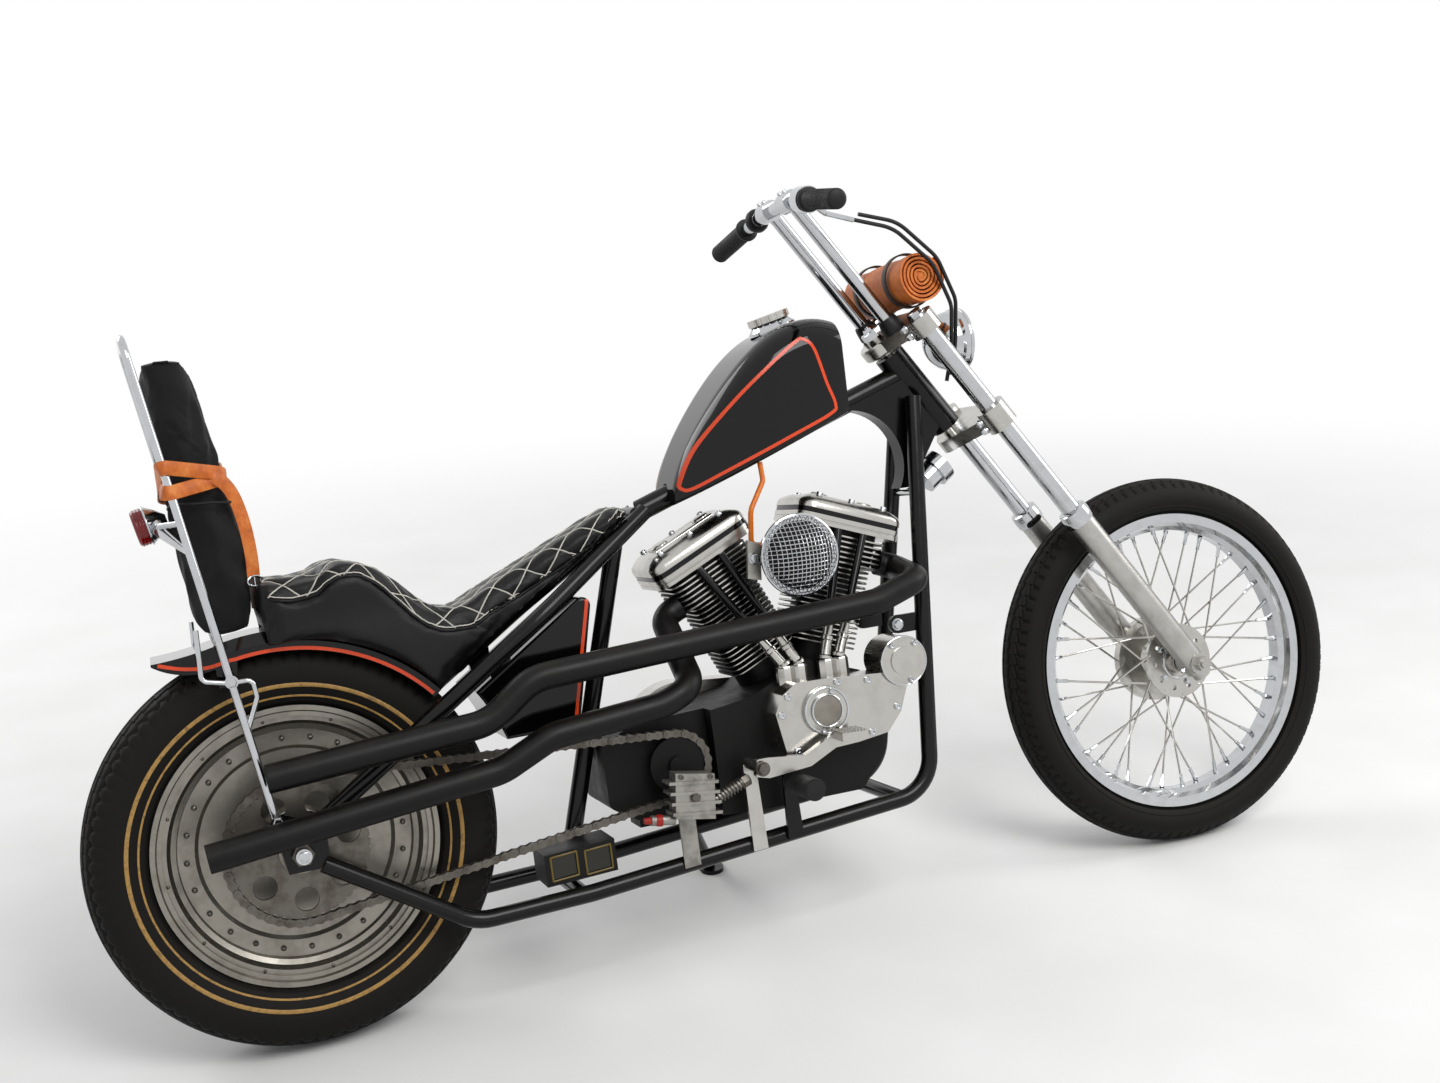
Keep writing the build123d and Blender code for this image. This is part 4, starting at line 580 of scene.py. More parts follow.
NODE_FINISHES = {
    "vulcanised_road_rubber": ("rear_tyre", "front_tyre"),
    "greyed_wheel_aluminium": ("rear_wheel_disc",),
    "chromium_plate": (
        "front_rim",
        "sissy_bar",
        "tail_light",
        "air_cleaner",
        "fork_tubes",
        "handlebar",
        "bar_controls",
        "headlight_shell",
        "horn",
    ),
    "buffed_cast_aluminium": (
        "front_hub",
        "tank_cap",
        "rocker_boxes",
        "cam_cover",
        "primary_cover",
        "brake_pedal",
        "shift_lever",
        "fork_trees",
    ),
    "oiled_machined_steel": ("rear_sprocket", "rear_brake_disc", "drive_chain", "rear_axle"),
    "frame_black_enamel": ("frame_cradle", "frame_stays", "side_stand", "foot_pegs"),
    "gloss_black_enamel": ("tank", "oil_tank", "rear_fender", "pushrod_tubes"),
    "leather_grain_vinyl": ("seat",),
    "red_acrylic": ("tail_lens",),
    "black_woven_nylon": ("bag_roll",),
    "oiled_tan_cowhide": ("bag_strap", "tool_roll"),
    "blackened_casting": ("crankcase", "electrics_box"),
    "black_cast_iron": ("cylinders",),
    "raw_sand_cast_aluminium": ("carburettor", "master_cylinder", "rear_caliper"),
    "heatproof_black_on_steel": ("exhaust_front", "exhaust_rear"),
    "moulded_black_rubber": ("grips",),
    "satin_machined_aluminium": ("fork_sliders",),
    "orange_fuel_hose": ("fuel_line",),
    "fluted_lamp_glass": ("headlight_lens",),
    "black_cable_sheath": ("control_cables",),
}


class ChopperSizes(bpy.types.PropertyGroup):
    """Sizes and light levels a user would change."""

    line_width: bpy.props.FloatProperty(
        name="Line width", description="Width of the painted lines, mm", default=5.6, min=1.0, max=12.0
    )
    tread_depth: bpy.props.FloatProperty(
        name="Tread depth", description="Depth of the tyres' grooves, mm", default=5.5, min=0.0, max=8.0
    )
    quilt_pitch: bpy.props.FloatProperty(
        name="Quilt pitch",
        description="Half width of the seat's stitched diamonds, mm",
        default=30.0,
        min=15.0,
        max=90.0,
    )
    lamp_power: bpy.props.FloatProperty(
        name="Lamp power", description="Power of the largest soft lamp, W", default=110.0, min=0.0
    )
    world_level: bpy.props.FloatProperty(
        name="World level", description="Level of the even light all round", default=0.5, min=0.0, max=1.0
    )


class CHOPPER_OT_finishes(bpy.types.Operator):
    """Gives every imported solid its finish"""

    bl_idname = "chopper.finishes"
    bl_label = "Finish the packed solids"

    def execute(self, context):
        for name, nodes in NODE_FINISHES.items():
            for each in nodes:
                NODES[each].data.materials.clear()
                NODES[each].data.materials.append(finish(name))
        return {"FINISHED"}


# Tyres: a closed section carried round the axle, with grooves cut into its crown
TYRES = {
    # body, axle; bead, foot, belly, shoulder as (radius, half width); crown radius, grooves, teeth
    "rear": (
        "rear_wheel", REAR_AXLE, (206, 40), (230, 52), (268, 65), (306, 56), REAR_TYRE_R, (12, 30, 46), 84,
    ),  # fmt: skip
    "front": (
        "front_wheel", FRONT_AXLE, (267, 26), (285, 37), (311, 46), (331, 36), FRONT_TYRE_R, (9, 24), 96,
    ),  # fmt: skip
}


def tyre_surface(bead, foot, belly, shoulder, crown, grooves, teeth, depth, axle):
    """Section r(s), y(s) of bead, sidewall and crown arcs, less a groove where |y| nears a sawtooth.

    The depth comes off along the radius: r - d w(|y| - g(t)), g a line that runs forward and jumps back
    once a tooth, and w a soft window a few mm wide; across the shoulder the teeth become slots.
    """
    side = three_point_arc(foot, belly, shoulder, 12)
    top = three_point_arc(shoulder, (crown, 0), (shoulder[0], -shoulder[1]), 65)
    inner = np.array([bead, (bead[0] + 18, bead[1]), foot])
    half = np.vstack([inner[:-1], side[:-1]])
    section = np.vstack([half, top, (half * (1, -1))[::-1]])
    r, y = section.T
    steps = teeth * 8
    t = np.linspace(0, 2 * pi, steps, endpoint=False)[:, None]
    tooth = (t * teeth / (2 * pi)) % 1.0
    cut = np.zeros((steps, len(r)))
    for i, line in enumerate(grooves):
        wander = line + (tooth - 0.5) * 5 * (1 if i % 2 else -1)
        cut = np.maximum(cut, np.clip(1.6 - np.abs(np.abs(y) - wander) / 2.0, 0, 1))
    outer = shoulder[1] - 9
    slot = (np.abs(y) > outer) & (r > shoulder[0] - 12)
    cut = np.maximum(cut, np.where(slot, np.clip(1.5 - np.abs(tooth - 0.25) * 7, 0, 1) * 0.8, 0))
    cut = cut * (r > belly[0] + 18)
    reach = r - depth * cut
    points = np.stack([reach * np.cos(t), np.broadcast_to(y, reach.shape), reach * np.sin(t)], -1) + axle
    return grid(points, (True, True))


class CHOPPER_OT_tyres(bpy.types.Operator):
    """Treaded tyres, with the rear one's worn gold lines"""

    bl_idname = "chopper.tyres"
    bl_label = "Tyres"

    def execute(self, context):
        depth = context.scene.chopper_sizes.tread_depth
        for name, (body, axle, *shape) in TYRES.items():
            surface = tyre_surface(*shape, depth, axle)
            tread, tyre = name + "_tyre_tread", name + "_tyre"
            build(tread, [surface], body, "vulcanised_road_rubber", "tyre_rubber", [tyre], 30)
        lines = []
        for side in SIDES:
            for radius, y, width in ((257, 63.6, 3.6), (240, 57.2, 2.6)):
                lines.append(ring(radius, width, 1.0, REAR_AXLE + LEFT * side * y, LEFT, 120))
        build("rear_tyre_lines", lines, "rear_wheel", "worn_gold_tyre_line", "tyre_rubber")
        beads = []
        for side in SIDES:
            beads.append(ring(294, 1.6, 1.2, FRONT_AXLE + LEFT * side * 43.4, LEFT, 120))
        build("front_tyre_rings", beads, "front_wheel", "vulcanised_road_rubber", "tyre_rubber")
        return {"FINISHED"}


# Radii of the fixings' circles about the axles, and the spokes' places, with their lead as an angle
DISC_RIVETS_R = 169
RIM_RIVETS_R = 203
REAR_HUB_BOLTS_R = 47
FRONT_HUB_BOLTS_R = 44
SPOKES_A_SIDE = 20
SPOKE_CIRCLE_R = 63
SPOKE_END_R = 247.3
SPOKE_LEAD = radians(36)


def about(axle, radius, y, angle):
    """Point at a radius and an angle about an axle, y to the left of it: a + (r cos t, y, r sin t)."""
    return axle + (radius * cos(angle), y, radius * sin(angle))


class CHOPPER_OT_wheels(bpy.types.Operator):
    """Disc rivets, sprocket bolts, spoke nipples and hub bolts"""

    bl_idname = "chopper.wheels"
    bl_label = "Wheel hardware"

    def execute(self, context):
        rivets = []
        turn = np.linspace(0, 2 * pi, 24, endpoint=False)
        for side in SIDES:
            for a in turn:
                rivets += dome_head(about(REAR_AXLE, DISC_RIVETS_R, side * 14.6, a), LEFT * side, 9, 3.5)
            for a in turn[::2] + turn[1] / 2:
                rivets += dome_head(about(REAR_AXLE, RIM_RIVETS_R, side * 33.8, a), LEFT * side, 6, 2)
        build("wheel_disc_rivets", rivets, "rear_wheel", "oiled_machined_steel", "bare_steel")
        hub = [ring(54, 3, 2, REAR_AXLE + LEFT * side * 30, LEFT, 64) for side in SIDES]
        for side, y in ((-1, 76.6), (1, 84.2)):
            for a in np.linspace(0, 2 * pi, 7, endpoint=False) + 0.65:
                hub += hexagon_head(about(REAR_AXLE, REAR_HUB_BOLTS_R, side * y, a), LEFT * side, 10, 5)
        build("rear_hub_bolts", hub, "rear_wheel", "chromium_plate", "bare_steel")
        nipples = []
        bolts = []
        for side in SIDES:
            for i in range(SPOKES_A_SIDE):
                lead = SPOKE_LEAD if i % 2 else -SPOKE_LEAD
                hub_angle = radians(360 / SPOKES_A_SIDE * i + (9 if side > 0 else 0))
                flange = 38 + (3 if i % 2 else -3) if side < 0 else 36 - (2.6 if i % 2 else -2.6)
                inner = about(FRONT_AXLE, SPOKE_CIRCLE_R, side * flange, hub_angle)
                outer = about(FRONT_AXLE, SPOKE_END_R, side * 6, hub_angle + lead)
                run = (outer - inner) / np.linalg.norm(outer - inner)
                profile = [(-26, 2.1), (-25, 3.2), (-8, 3.4), (-6, 4.6), (0, 4.6), (0.4, 0)]
                nipples.append(turned(profile, outer, run, 8))
        build("spoke_nipples", nipples, "front_wheel", "chromium_plate", "chrome")
        for a in np.linspace(0, 2 * pi, 5, endpoint=False):
            bolts += hexagon_head(about(FRONT_AXLE, FRONT_HUB_BOLTS_R, -41.9, a), -LEFT, 9, 4)
        bolts.append(ring(33, 3, 2.5, FRONT_AXLE - LEFT * 42, LEFT, 48))
        build("front_hub_bolts", bolts, "front_wheel", "chromium_plate", "chrome")
        return {"FINISHED"}


# Final drive: the chain's pins lie half an inch and an eighth apart round both sprockets
CHAIN_PITCH = 15.875
CHAIN_Y = -80
REAR_TEETH = 45
FRONT_TEETH = 21
DRIVE_CENTRE = np.array([624, 342])


def chain_pins():
    """Pin places, evenly spaced on two runs tangent to both pitch circles and the arcs between."""
    rear_r, front_r = (CHAIN_PITCH / (2 * sin(pi / teeth)) for teeth in (REAR_TEETH, FRONT_TEETH))
    rear = np.array([0, REAR_TYRE_R])
    line = DRIVE_CENTRE - rear
    distance = np.linalg.norm(line)
    lean = np.arctan2(line[1], line[0])
    spread = np.arcsin((rear_r - front_r) / distance)
    upper, lower = lean + pi / 2 - spread, lean - pi / 2 + spread
    arc_front = upper - np.linspace(0, upper - lower, 60)
    arc_rear = lower - np.linspace(0, 2 * pi - (upper - lower), 160)
    front = DRIVE_CENTRE + front_r * np.stack([np.cos(arc_front), np.sin(arc_front)], -1)
    back = rear + rear_r * np.stack([np.cos(arc_rear), np.sin(arc_rear)], -1)
    loop = np.vstack([front, back, front[:1]])
    reach = np.concatenate([[0], np.cumsum(np.linalg.norm(np.diff(loop, axis=0), axis=1))])
    count = 2 * round(reach[-1] / CHAIN_PITCH / 2)
    s = np.linspace(0, reach[-1], count, endpoint=False)
    return np.stack([np.interp(s, reach, loop[:, 0]), np.interp(s, reach, loop[:, 1])], -1)


def chain_plates(starts, ends, y, thickness):
    """Side plates between pins: half height 7 at each pin, waisted to 5 between them.

    All plates at once: start + f (end - start) + h(f) across, with two faces at y and y + thickness.
    """
    f = np.array([-0.42, -0.3, 0.0, 0.3, 0.5, 0.7, 1.0, 1.3, 1.42])
    h = np.array([1.5, 5.2, 7.0, 5.6, 5.0, 5.6, 7.0, 5.2, 1.5])
    run = ends - starts
    across = np.stack([-run[:, 1], run[:, 0]], -1) / np.linalg.norm(run, axis=1)[:, None]
    patches = []
    middle = starts[:, None] + f[:, None] * run[:, None]
    for line, up in zip(middle, across):
        edges = []
        for s, q in ((1, 0), (1, 1), (-1, 1), (-1, 0)):
            x, z = line[:, 0] + s * h * up[0], line[:, 1] + s * h * up[1]
            edges.append(np.stack([x, np.full(9, y + q * thickness), z], -1))
        points = np.stack(edges, 1)
        tips = points[[0, -1]].mean(1)[:, None].repeat(4, 1)
        patches.append(grid(np.concatenate([tips[:1], points, tips[1:]]), (False, True)))
    return patches


class CHOPPER_OT_chain(bpy.types.Operator):
    """Roller chain, link by link, in place of the plain loop"""

    bl_idname = "chopper.chain"
    bl_label = "Drive chain"

    def execute(self, context):
        pins = chain_pins()
        following = np.roll(pins, -1, 0)
        patches = []
        for y in (3.6, -5.2):
            patches += chain_plates(pins[::2], following[::2], CHAIN_Y + y, 1.6)
        for y in (5.6, -7.4):
            patches += chain_plates(pins[1::2], following[1::2], CHAIN_Y + y, 1.8)
        for x, z in pins:
            half = [(-8.6, 0), (-8.6, 2.4), (-3.4, 2.5), (-3.4, 4.6)]
            profile = half + [(-along, radius) for along, radius in half[::-1]]
            patches.append(turned(profile, (x, CHAIN_Y, z), LEFT, 8))
        build("roller_chain", patches, "frame", "oiled_machined_steel", "bare_steel", ["drive_chain"], 30)
        return {"FINISHED"}


# Engine: the same crank, cylinder tilts and heights as its castings
CRANK = np.array([877, 0, 361])
CYLINDER_TILTS = (-25, 20)
BOX = (196, 150)
BOX_CORNER = 26
HEAD_FIN = (156, 126)
BARREL_FIN = (126, 118)
FIRST_FIN = 144
FIN_PITCH = 9
BARREL_TOP = 290
HEAD_TOP = 345
JOINT_LOW = 363
JOINT_HIGH = 372
COVER_FACE = -160
POINTS = (870, 400)
END_CAP = (1022, 459)
CAM_SCREWS = (
    (806, 433), (791, 404), (812, 341), (880, 343), (950, 348), (1002, 383), (953, 437), (897, 443),
)  # fmt: skip
PRIMARY_SCREWS = (
    (690, 262), (760, 264), (830, 266), (890, 270), (950, 312), (950, 384), (890, 426), (830, 432),
    (760, 438), (690, 442), (622, 412), (603, 352), (622, 292),
)  # fmt: skip


def on_cylinder(tilt, height, forward=0, left=0):
    """Points by height up a cylinder, forward along its head and to the left: crank + h u + f a + l y."""
    t = radians(tilt)
    up = np.array([sin(t), 0, cos(t)])
    ahead = np.array([cos(t), 0, -sin(t)])
    height, forward, left = (np.asarray(v, float)[..., None] for v in (height, forward, left))
    return CRANK + height * up + forward * ahead + left * LEFT


def band(tilt, size, corner, low, high, proud):
    """A hoop round a cylinder's plan outline: the outline pushed out by its depth, between two heights."""
    flat = rounded_rectangle(*size, corner)
    run = np.roll(flat, -1, 0) - np.roll(flat, 1, 0)
    run /= np.linalg.norm(run, axis=1)[:, None]
    out = np.stack([run[:, 1], -run[:, 0]], -1)
    section = ((-1.0, low), (proud, low), (proud, high), (-1.0, high))
    rows = [on_cylinder(tilt, z, *(flat + d * out).T) for d, z in section]
    return grid(np.stack(rows, 1), (True, True))


# Levels of a rocker cover: height up the cylinder, and how far its outline is drawn in
ROCKER_LEVELS = (
    (HEAD_TOP + 0.3, 0), (352, 0), (352.6, 1), (354.4, 1), (355, 0), (JOINT_LOW, 0), (JOINT_LOW, 4),
    (JOINT_HIGH, 4), (JOINT_HIGH, 0), (379, 0.4), (384, 2), (388, 6), (392, 12), (396, 20), (398, 27),
)  # fmt: skip


def rocker_cover(tilt):
    """A cover's skin: the plan outline (w/2 - i, d/2 - i) carried up its levels, closed at both ends."""
    rows = []
    for height, inset in ROCKER_LEVELS:
        flat = rounded_rectangle(BOX[0] - 2 * inset, BOX[1] - 2 * inset, BOX_CORNER - inset / 2)
        rows.append(on_cylinder(tilt, height, *flat.T))
    ends = [np.repeat(row.mean(0)[None], len(row), 0) for row in (rows[0], rows[-1])]
    return grid(np.stack([ends[0], *rows, ends[1]]), (False, True))


def screw_ring(centre, radius, angles, y, diameter):
    """Socket screws round a centre in the side view, on the face at y, their heads to the right."""
    found = []
    for a in np.radians(angles):
        spot = (centre[0] + radius * cos(a), y, centre[1] + radius * sin(a))
        found += socket_head(spot, -LEFT, diameter, 5)
    return found


class CHOPPER_OT_engine(bpy.types.Operator):
    """Rocker covers with their black joint, fin edges, cover screws, points cover and tube collars"""

    bl_idname = "chopper.engine"
    bl_label = "Engine trim"

    def execute(self, context):
        buffed = ("frame", "buffed_cast_aluminium", "polished_alloy")
        covers = [rocker_cover(tilt) for tilt in CYLINDER_TILTS]
        build("rocker_covers", covers, *buffed, ["rocker_boxes"], 30)
        edges = []
        dark = []
        bright = []
        for tilt in CYLINDER_TILTS:
            up = on_cylinder(tilt, 1) - CRANK
            for z in np.arange(FIRST_FIN, HEAD_TOP - 7.2, FIN_PITCH):
                barrel = z < BARREL_TOP - 4
                size, top = (BARREL_FIN, 2.3) if barrel else (HEAD_FIN, 3.0)
                edges.append(band(tilt, size, 22, z + 0.5, z + top, 0.3))
            dark.append(band(tilt, (BOX[0] - 8, BOX[1] - 8), 24, JOINT_LOW + 0.3, JOINT_HIGH - 0.3, 3.4))
            for forward in (-62, 0, 62):
                for left in (-50, 50):
                    bright += socket_head(on_cylinder(tilt, 395, forward, left), up, 12, 7)
            # The raised spine along the top, with a pad at each end
            spine = on_cylinder(tilt, 397, np.linspace(-60, 60, 9), 0)
            ridge = [section_path(spine, rounded_rectangle(8, 46, 3.5, 4), False, up)]
            for forward in (-44, 44):
                pad = [(0, 0), (0, 17), (6, 16), (8, 13), (8, 0)]
                ridge.append(turned(pad, on_cylinder(tilt, 397, forward, 0), up, 28))
            end = "rear" if tilt < 0 else "front"
            build("rocker_spine_" + end, ridge, *buffed)
        build("fin_edges", edges, "frame", "milled_fin_edge", "iron")
        build("rocker_joint_bands", dark, "frame", "gloss_black_enamel", "black_paint")
        for x, z in CAM_SCREWS:
            bright += socket_head((x, COVER_FACE, z), -LEFT, 12, 5)
        bright += screw_ring(END_CAP, 35, (125, 50, -75), COVER_FACE - 6, 10)
        build("engine_screws", bright, "frame", "chromium_plate", "polished_alloy")
        x, z = POINTS
        rings = [ring(38.5, 2.2, 2.2, (x, COVER_FACE - 7, z), LEFT, 64)]
        rings.append(ring(27, 1.8, 2.4, (x, COVER_FACE - 10, z), LEFT, 56))
        rings.append(ring(41.5, 1.6, 1.6, (END_CAP[0], COVER_FACE - 5.5, END_CAP[1]), LEFT, 64))
        rings += screw_ring(POINTS, 33, (70, 250), COVER_FACE - 7, 8)
        build("points_cover_rings", rings, "frame", "chromium_plate", "polished_alloy")
        plate = [turned([(0, 0), (0, 25), (0.6, 25), (0.6, 0)], (x, COVER_FACE - 10, z), -LEFT, 48)]
        build("points_cover_plate", plate, "frame", "greyed_wheel_aluminium", "dark_alloy")
        collars = []
        for foot_x, tilt, forward in ((826, 0, -26), (852, 0, 22), (902, 1, -24), (928, 1, 24)):
            foot = np.array([foot_x, -108, 479])
            top = on_cylinder(CYLINDER_TILTS[tilt], HEAD_TOP + 8, forward, -71)
            run = (top - foot) / np.linalg.norm(top - foot)
            lower = [(-2, 0), (-2, 12.6), (3, 13), (6, 9.6), (30, 9.2)]
            lower += [(32, 11), (38, 11), (40, 8.6), (58, 8.4), (59, 0)]
            collars.append(turned(lower, foot, run, 24))
            block = [(-44, 0), (-44, 14.5), (-40, 15), (-4, 15), (-1, 13.5), (-1, 0)]
            collars.append(turned(block, (foot_x, -108, 479), (0, 0, 1), 8, pi / 8))
        build("pushrod_collars", collars, "frame", "buffed_cast_aluminium", "polished_alloy")
        primary = []
        for x, z in PRIMARY_SCREWS:
            primary += socket_head((x, 153.8, z), LEFT, 10, 4)
        for a in np.linspace(0, 2 * pi, 3, endpoint=False):
            primary += socket_head((690 + 50 * cos(a), 160, 352 + 50 * sin(a)), LEFT, 9, 4)
        build("primary_cover_screws", primary, "frame", "chromium_plate", "polished_alloy")
        return {"FINISHED"}


# Air cleaner: a wire dome over its foam
AIR_CLEANER = np.array([864, -150, 664])
AIR_CLEANER_R = 68
DOME_RISE = 46
DOME_R = (AIR_CLEANER_R**2 + DOME_RISE**2) / (2 * DOME_RISE)
GAUZE_PITCH = 7.0


def gauze_wires():
    """Wires of a square mesh pressed into a dome: lines x = k p and z = k p on a ball of radius R."""
    wires = []
    count = int((AIR_CLEANER_R - 2) / GAUZE_PITCH)
    for k in range(-count, count + 1):
        fixed = k * GAUZE_PITCH
        reach = np.sqrt(AIR_CLEANER_R**2 - fixed**2)
        s = np.linspace(-reach, reach, 34)
        for swapped in (False, True):
            weave = 0.5 * np.cos(pi * (s / GAUZE_PITCH + k + swapped))
            out = np.sqrt(DOME_R**2 - s**2 - fixed**2) - (DOME_R - DOME_RISE) - 1.4 + weave
            x, z = (s, np.full(34, fixed)) if swapped else (np.full(34, fixed), s)
            path = AIR_CLEANER + np.stack([x, -out, z], -1)
            wires.append(section_path(path, circle(0.85, 6), reference=-LEFT))
    return wires


class CHOPPER_OT_air_cleaner(bpy.types.Operator):
    """Wire dome with foam behind it, its back plate, rim and bracket bolt"""

    bl_idname = "chopper.air_cleaner"
    bl_label = "Air cleaner"

    def execute(self, context):
        rim = [ring(AIR_CLEANER_R - 1, 3.4, 4.0, AIR_CLEANER, LEFT, 72)]
        back = [(4, 0), (4, 66), (-2, 67), (-4, 64), (-4, 28), (-38, 28), (-38, 0)]
        rim.append(turned(back, AIR_CLEANER, -LEFT, 64))
        rim += hexagon_head((791, -126, 668), -LEFT, 14, 6)
        build("air_cleaner_gauze", gauze_wires(), "frame", "chromium_plate", "chrome", ["air_cleaner"], 50)
        build("air_cleaner_rim", rim, "frame", "chromium_plate", "chrome")
        # The foam follows the dome's ball, 9 mm inside the wire: r sin t across, R cos t out
        inner = DOME_R - 9
        t = np.linspace(0, np.arcsin(58 / inner), 12)
        profile = np.stack([inner * np.cos(t) - (DOME_R - DOME_RISE), inner * np.sin(t)], -1)
        foam = turned(np.vstack([profile, [(4.2, 58), (4.2, 0)]]), AIR_CLEANER, -LEFT, 48)
        build("air_filter_foam", [foam], "frame", "oiled_filter_foam", "hose_black")
        return {"FINISHED"}


# Painted lines in the side view
TANK_LINE = (
    (935, 1023), (952, 1005), (969, 945), (981, 908), (971, 893), (900, 866), (831, 840), (770, 817),
    (718, 797), (702, 798), (700, 812), (732, 867), (804, 936), (873, 989), (920, 1020),
)  # fmt: skip
FENDER_LINE_R = 315.5
FENDER_ANGLES = (41, 100)
TAIL_LINE = ((-66, 634), (-90, 629), (-112, 629), (-140, 634), (-168, 643))
OIL_TANK_LINE = ((505, 648), (496, 610), (484, 560), (472, 508), (460, 456))


class CHOPPER_OT_lines(bpy.types.Operator):
    """Orange-red lines on the tank, the fender's edge and the oil tank"""

    bl_idname = "chopper.lines"
    bl_label = "Painted lines"

    def execute(self, context):
        width = context.scene.chopper_sizes.line_width
        patches = []
        for side in SIDES:
            patches.append(painted_line("tank", smooth_path(TANK_LINE, 240, True), side, width))
            a = np.radians(np.linspace(*FENDER_ANGLES, 80))
            edge = np.stack([FENDER_LINE_R * np.cos(a), REAR_TYRE_R + FENDER_LINE_R * np.sin(a)], -1)
            edge = np.vstack([edge, smooth_path(TAIL_LINE, 24)])
            patches.append(painted_line("rear_fender", edge, side, width))
            patches.append(painted_line("oil_tank", smooth_path(OIL_TANK_LINE, 50), side, width))
        build("painted_lines", patches, "frame", "orange_red_line_enamel", "black_paint", crease=60)
        return {"FINISHED"}


def soften(source, name, voxel, pressure, cap, inset, frames=20):
    """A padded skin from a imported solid: remeshed, drawn in, blown up as cloth, each point held to a reach.

    Returns a mesh in the solid's own place. The reach is a cap on how far a point leaves where it began.
    """
    mesh = NODES[source].data.copy()
    shell = bmesh.new()
    shell.from_mesh(mesh)
    bmesh.ops.remove_doubles(shell, verts=shell.verts, dist=0.0001)
    bmesh.ops.recalc_face_normals(shell, faces=shell.faces)
    shell.to_mesh(mesh)
    shell.free()
    pad = bpy.data.objects.new(name + "_start", mesh)
    bpy.context.scene.collection.objects.link(pad)
    remesh = pad.modifiers.new("remesh", "REMESH")
    remesh.mode = "VOXEL"
    remesh.voxel_size = voxel / 1000
    smooth = pad.modifiers.new("smooth", "SMOOTH")
    smooth.iterations = 6
    bpy.context.view_layer.update()
    cage = bpy.data.meshes.new_from_object(pad.evaluated_get(bpy.context.evaluated_depsgraph_get()))
    pad.modifiers.clear()
    pad.data = cage
    start = np.empty(len(cage.vertices) * 3)
    cage.vertices.foreach_get("co", start)
    normals = np.empty(len(cage.vertices) * 3)
    cage.vertices.foreach_get("normal", normals)
    start = (start - normals * inset / 1000).reshape(-1, 3)
    cage.vertices.foreach_set("co", start.ravel())
    cage.update()
    cloth = pad.modifiers.new("cloth", "CLOTH")
    cloth.settings.quality = 4
    cloth.settings.use_pressure = True
    cloth.settings.uniform_pressure_force = pressure
    cloth.settings.effector_weights.gravity = 0.0
    cloth.settings.tension_stiffness = 25.0
    cloth.settings.compression_stiffness = 25.0
    cloth.point_cache.frame_start = 1
    cloth.point_cache.frame_end = frames
    for step in range(1, frames + 1):
        bpy.context.scene.frame_set(step)
    blown = pad.evaluated_get(bpy.context.evaluated_depsgraph_get()).to_mesh()
    end = np.empty(len(blown.vertices) * 3)
    blown.vertices.foreach_get("co", end)
    move = end.reshape(-1, 3) - start
    length = np.linalg.norm(move, axis=1)[:, None]
    move *= np.minimum(1, cap / 1000 / np.maximum(length, 1e-9))
    cage.vertices.foreach_set("co", (start + move).ravel())
    cage.update()
    pad.modifiers.clear()
    bpy.context.scene.frame_set(1)
    subdivision = pad.modifiers.new("subdivision", "SUBSURF")
    subdivision.levels = subdivision.render_levels = 1
    bpy.context.view_layer.update()
    finished = bpy.data.meshes.new_from_object(pad.evaluated_get(bpy.context.evaluated_depsgraph_get()))
    bpy.data.objects.remove(pad)
    finished.name = name
    return finished


def read_points(mesh, what="co"):
    """A mesh's points or normals in the machine's upright directions, mm for points."""
    values = np.empty(len(mesh.vertices) * 3)
    mesh.vertices.foreach_get(what, values)
    values = values.reshape(-1, 3)
    return upright(values) if what == "co" else values @ TO_WORLD


# Seat: places along it and round its section, where the cover is quilted
SEAT_X = np.linspace(2, 602, 151)
SEAT_TURN = np.radians(np.linspace(-84, 84, 85))
SEAT_TOP = (
    (2, 746), (37, 740), (82, 745), (127, 754), (164, 748), (236, 682), (283, 655), (345, 674), (602, 784),
)  # fmt: skip


def seat_middle(x):
    """Height of the line that the seat's turns are taken about, 60 mm below its top."""
    return np.interp(x, *np.array(SEAT_TOP).T) - 60


def seat_girth(name):
    """The cover's section at each place along: points met from outside, at turns about a line inside it.

    Returns the points, their normals and the girth, the distance over the section from its middle.
    """
    middle = seat_middle(SEAT_X)
    x, turn = np.meshgrid(SEAT_X, SEAT_TURN, indexing="ij")
    way = np.stack([np.zeros_like(x), np.sin(turn), np.cos(turn)], -1)
    centre = np.stack([x, np.zeros_like(x), np.broadcast_to(middle[:, None], x.shape)], -1)
    starts, ways = (centre + 300 * way).reshape(-1, 3), way.reshape(-1, 3)
    hits = [cast(name, [start], -out) for start, out in zip(starts, ways)]
    points = np.array([hit[0][0] for hit in hits]).reshape(x.shape + (3,))
    normals = np.array([hit[1][0] for hit in hits]).reshape(x.shape + (3,))
    steps = np.linalg.norm(np.diff(points, axis=1), axis=2)
    girth = np.concatenate([np.zeros((len(SEAT_X), 1)), np.cumsum(steps, 1)], 1)
    half = len(SEAT_TURN) // 2
    return points, normals, girth - girth[:, half : half + 1]


def quilt_half(x):
    """Girth from the middle to the stitched edge: the half width and 14 to 24 mm more."""
    width = np.interp(x, (0, 120, 260, 400, 602), (104, 106, 92, 72, 61))
    return width + np.interp(x, (0, 200, 300, 602), (14, 14, 22, 24))


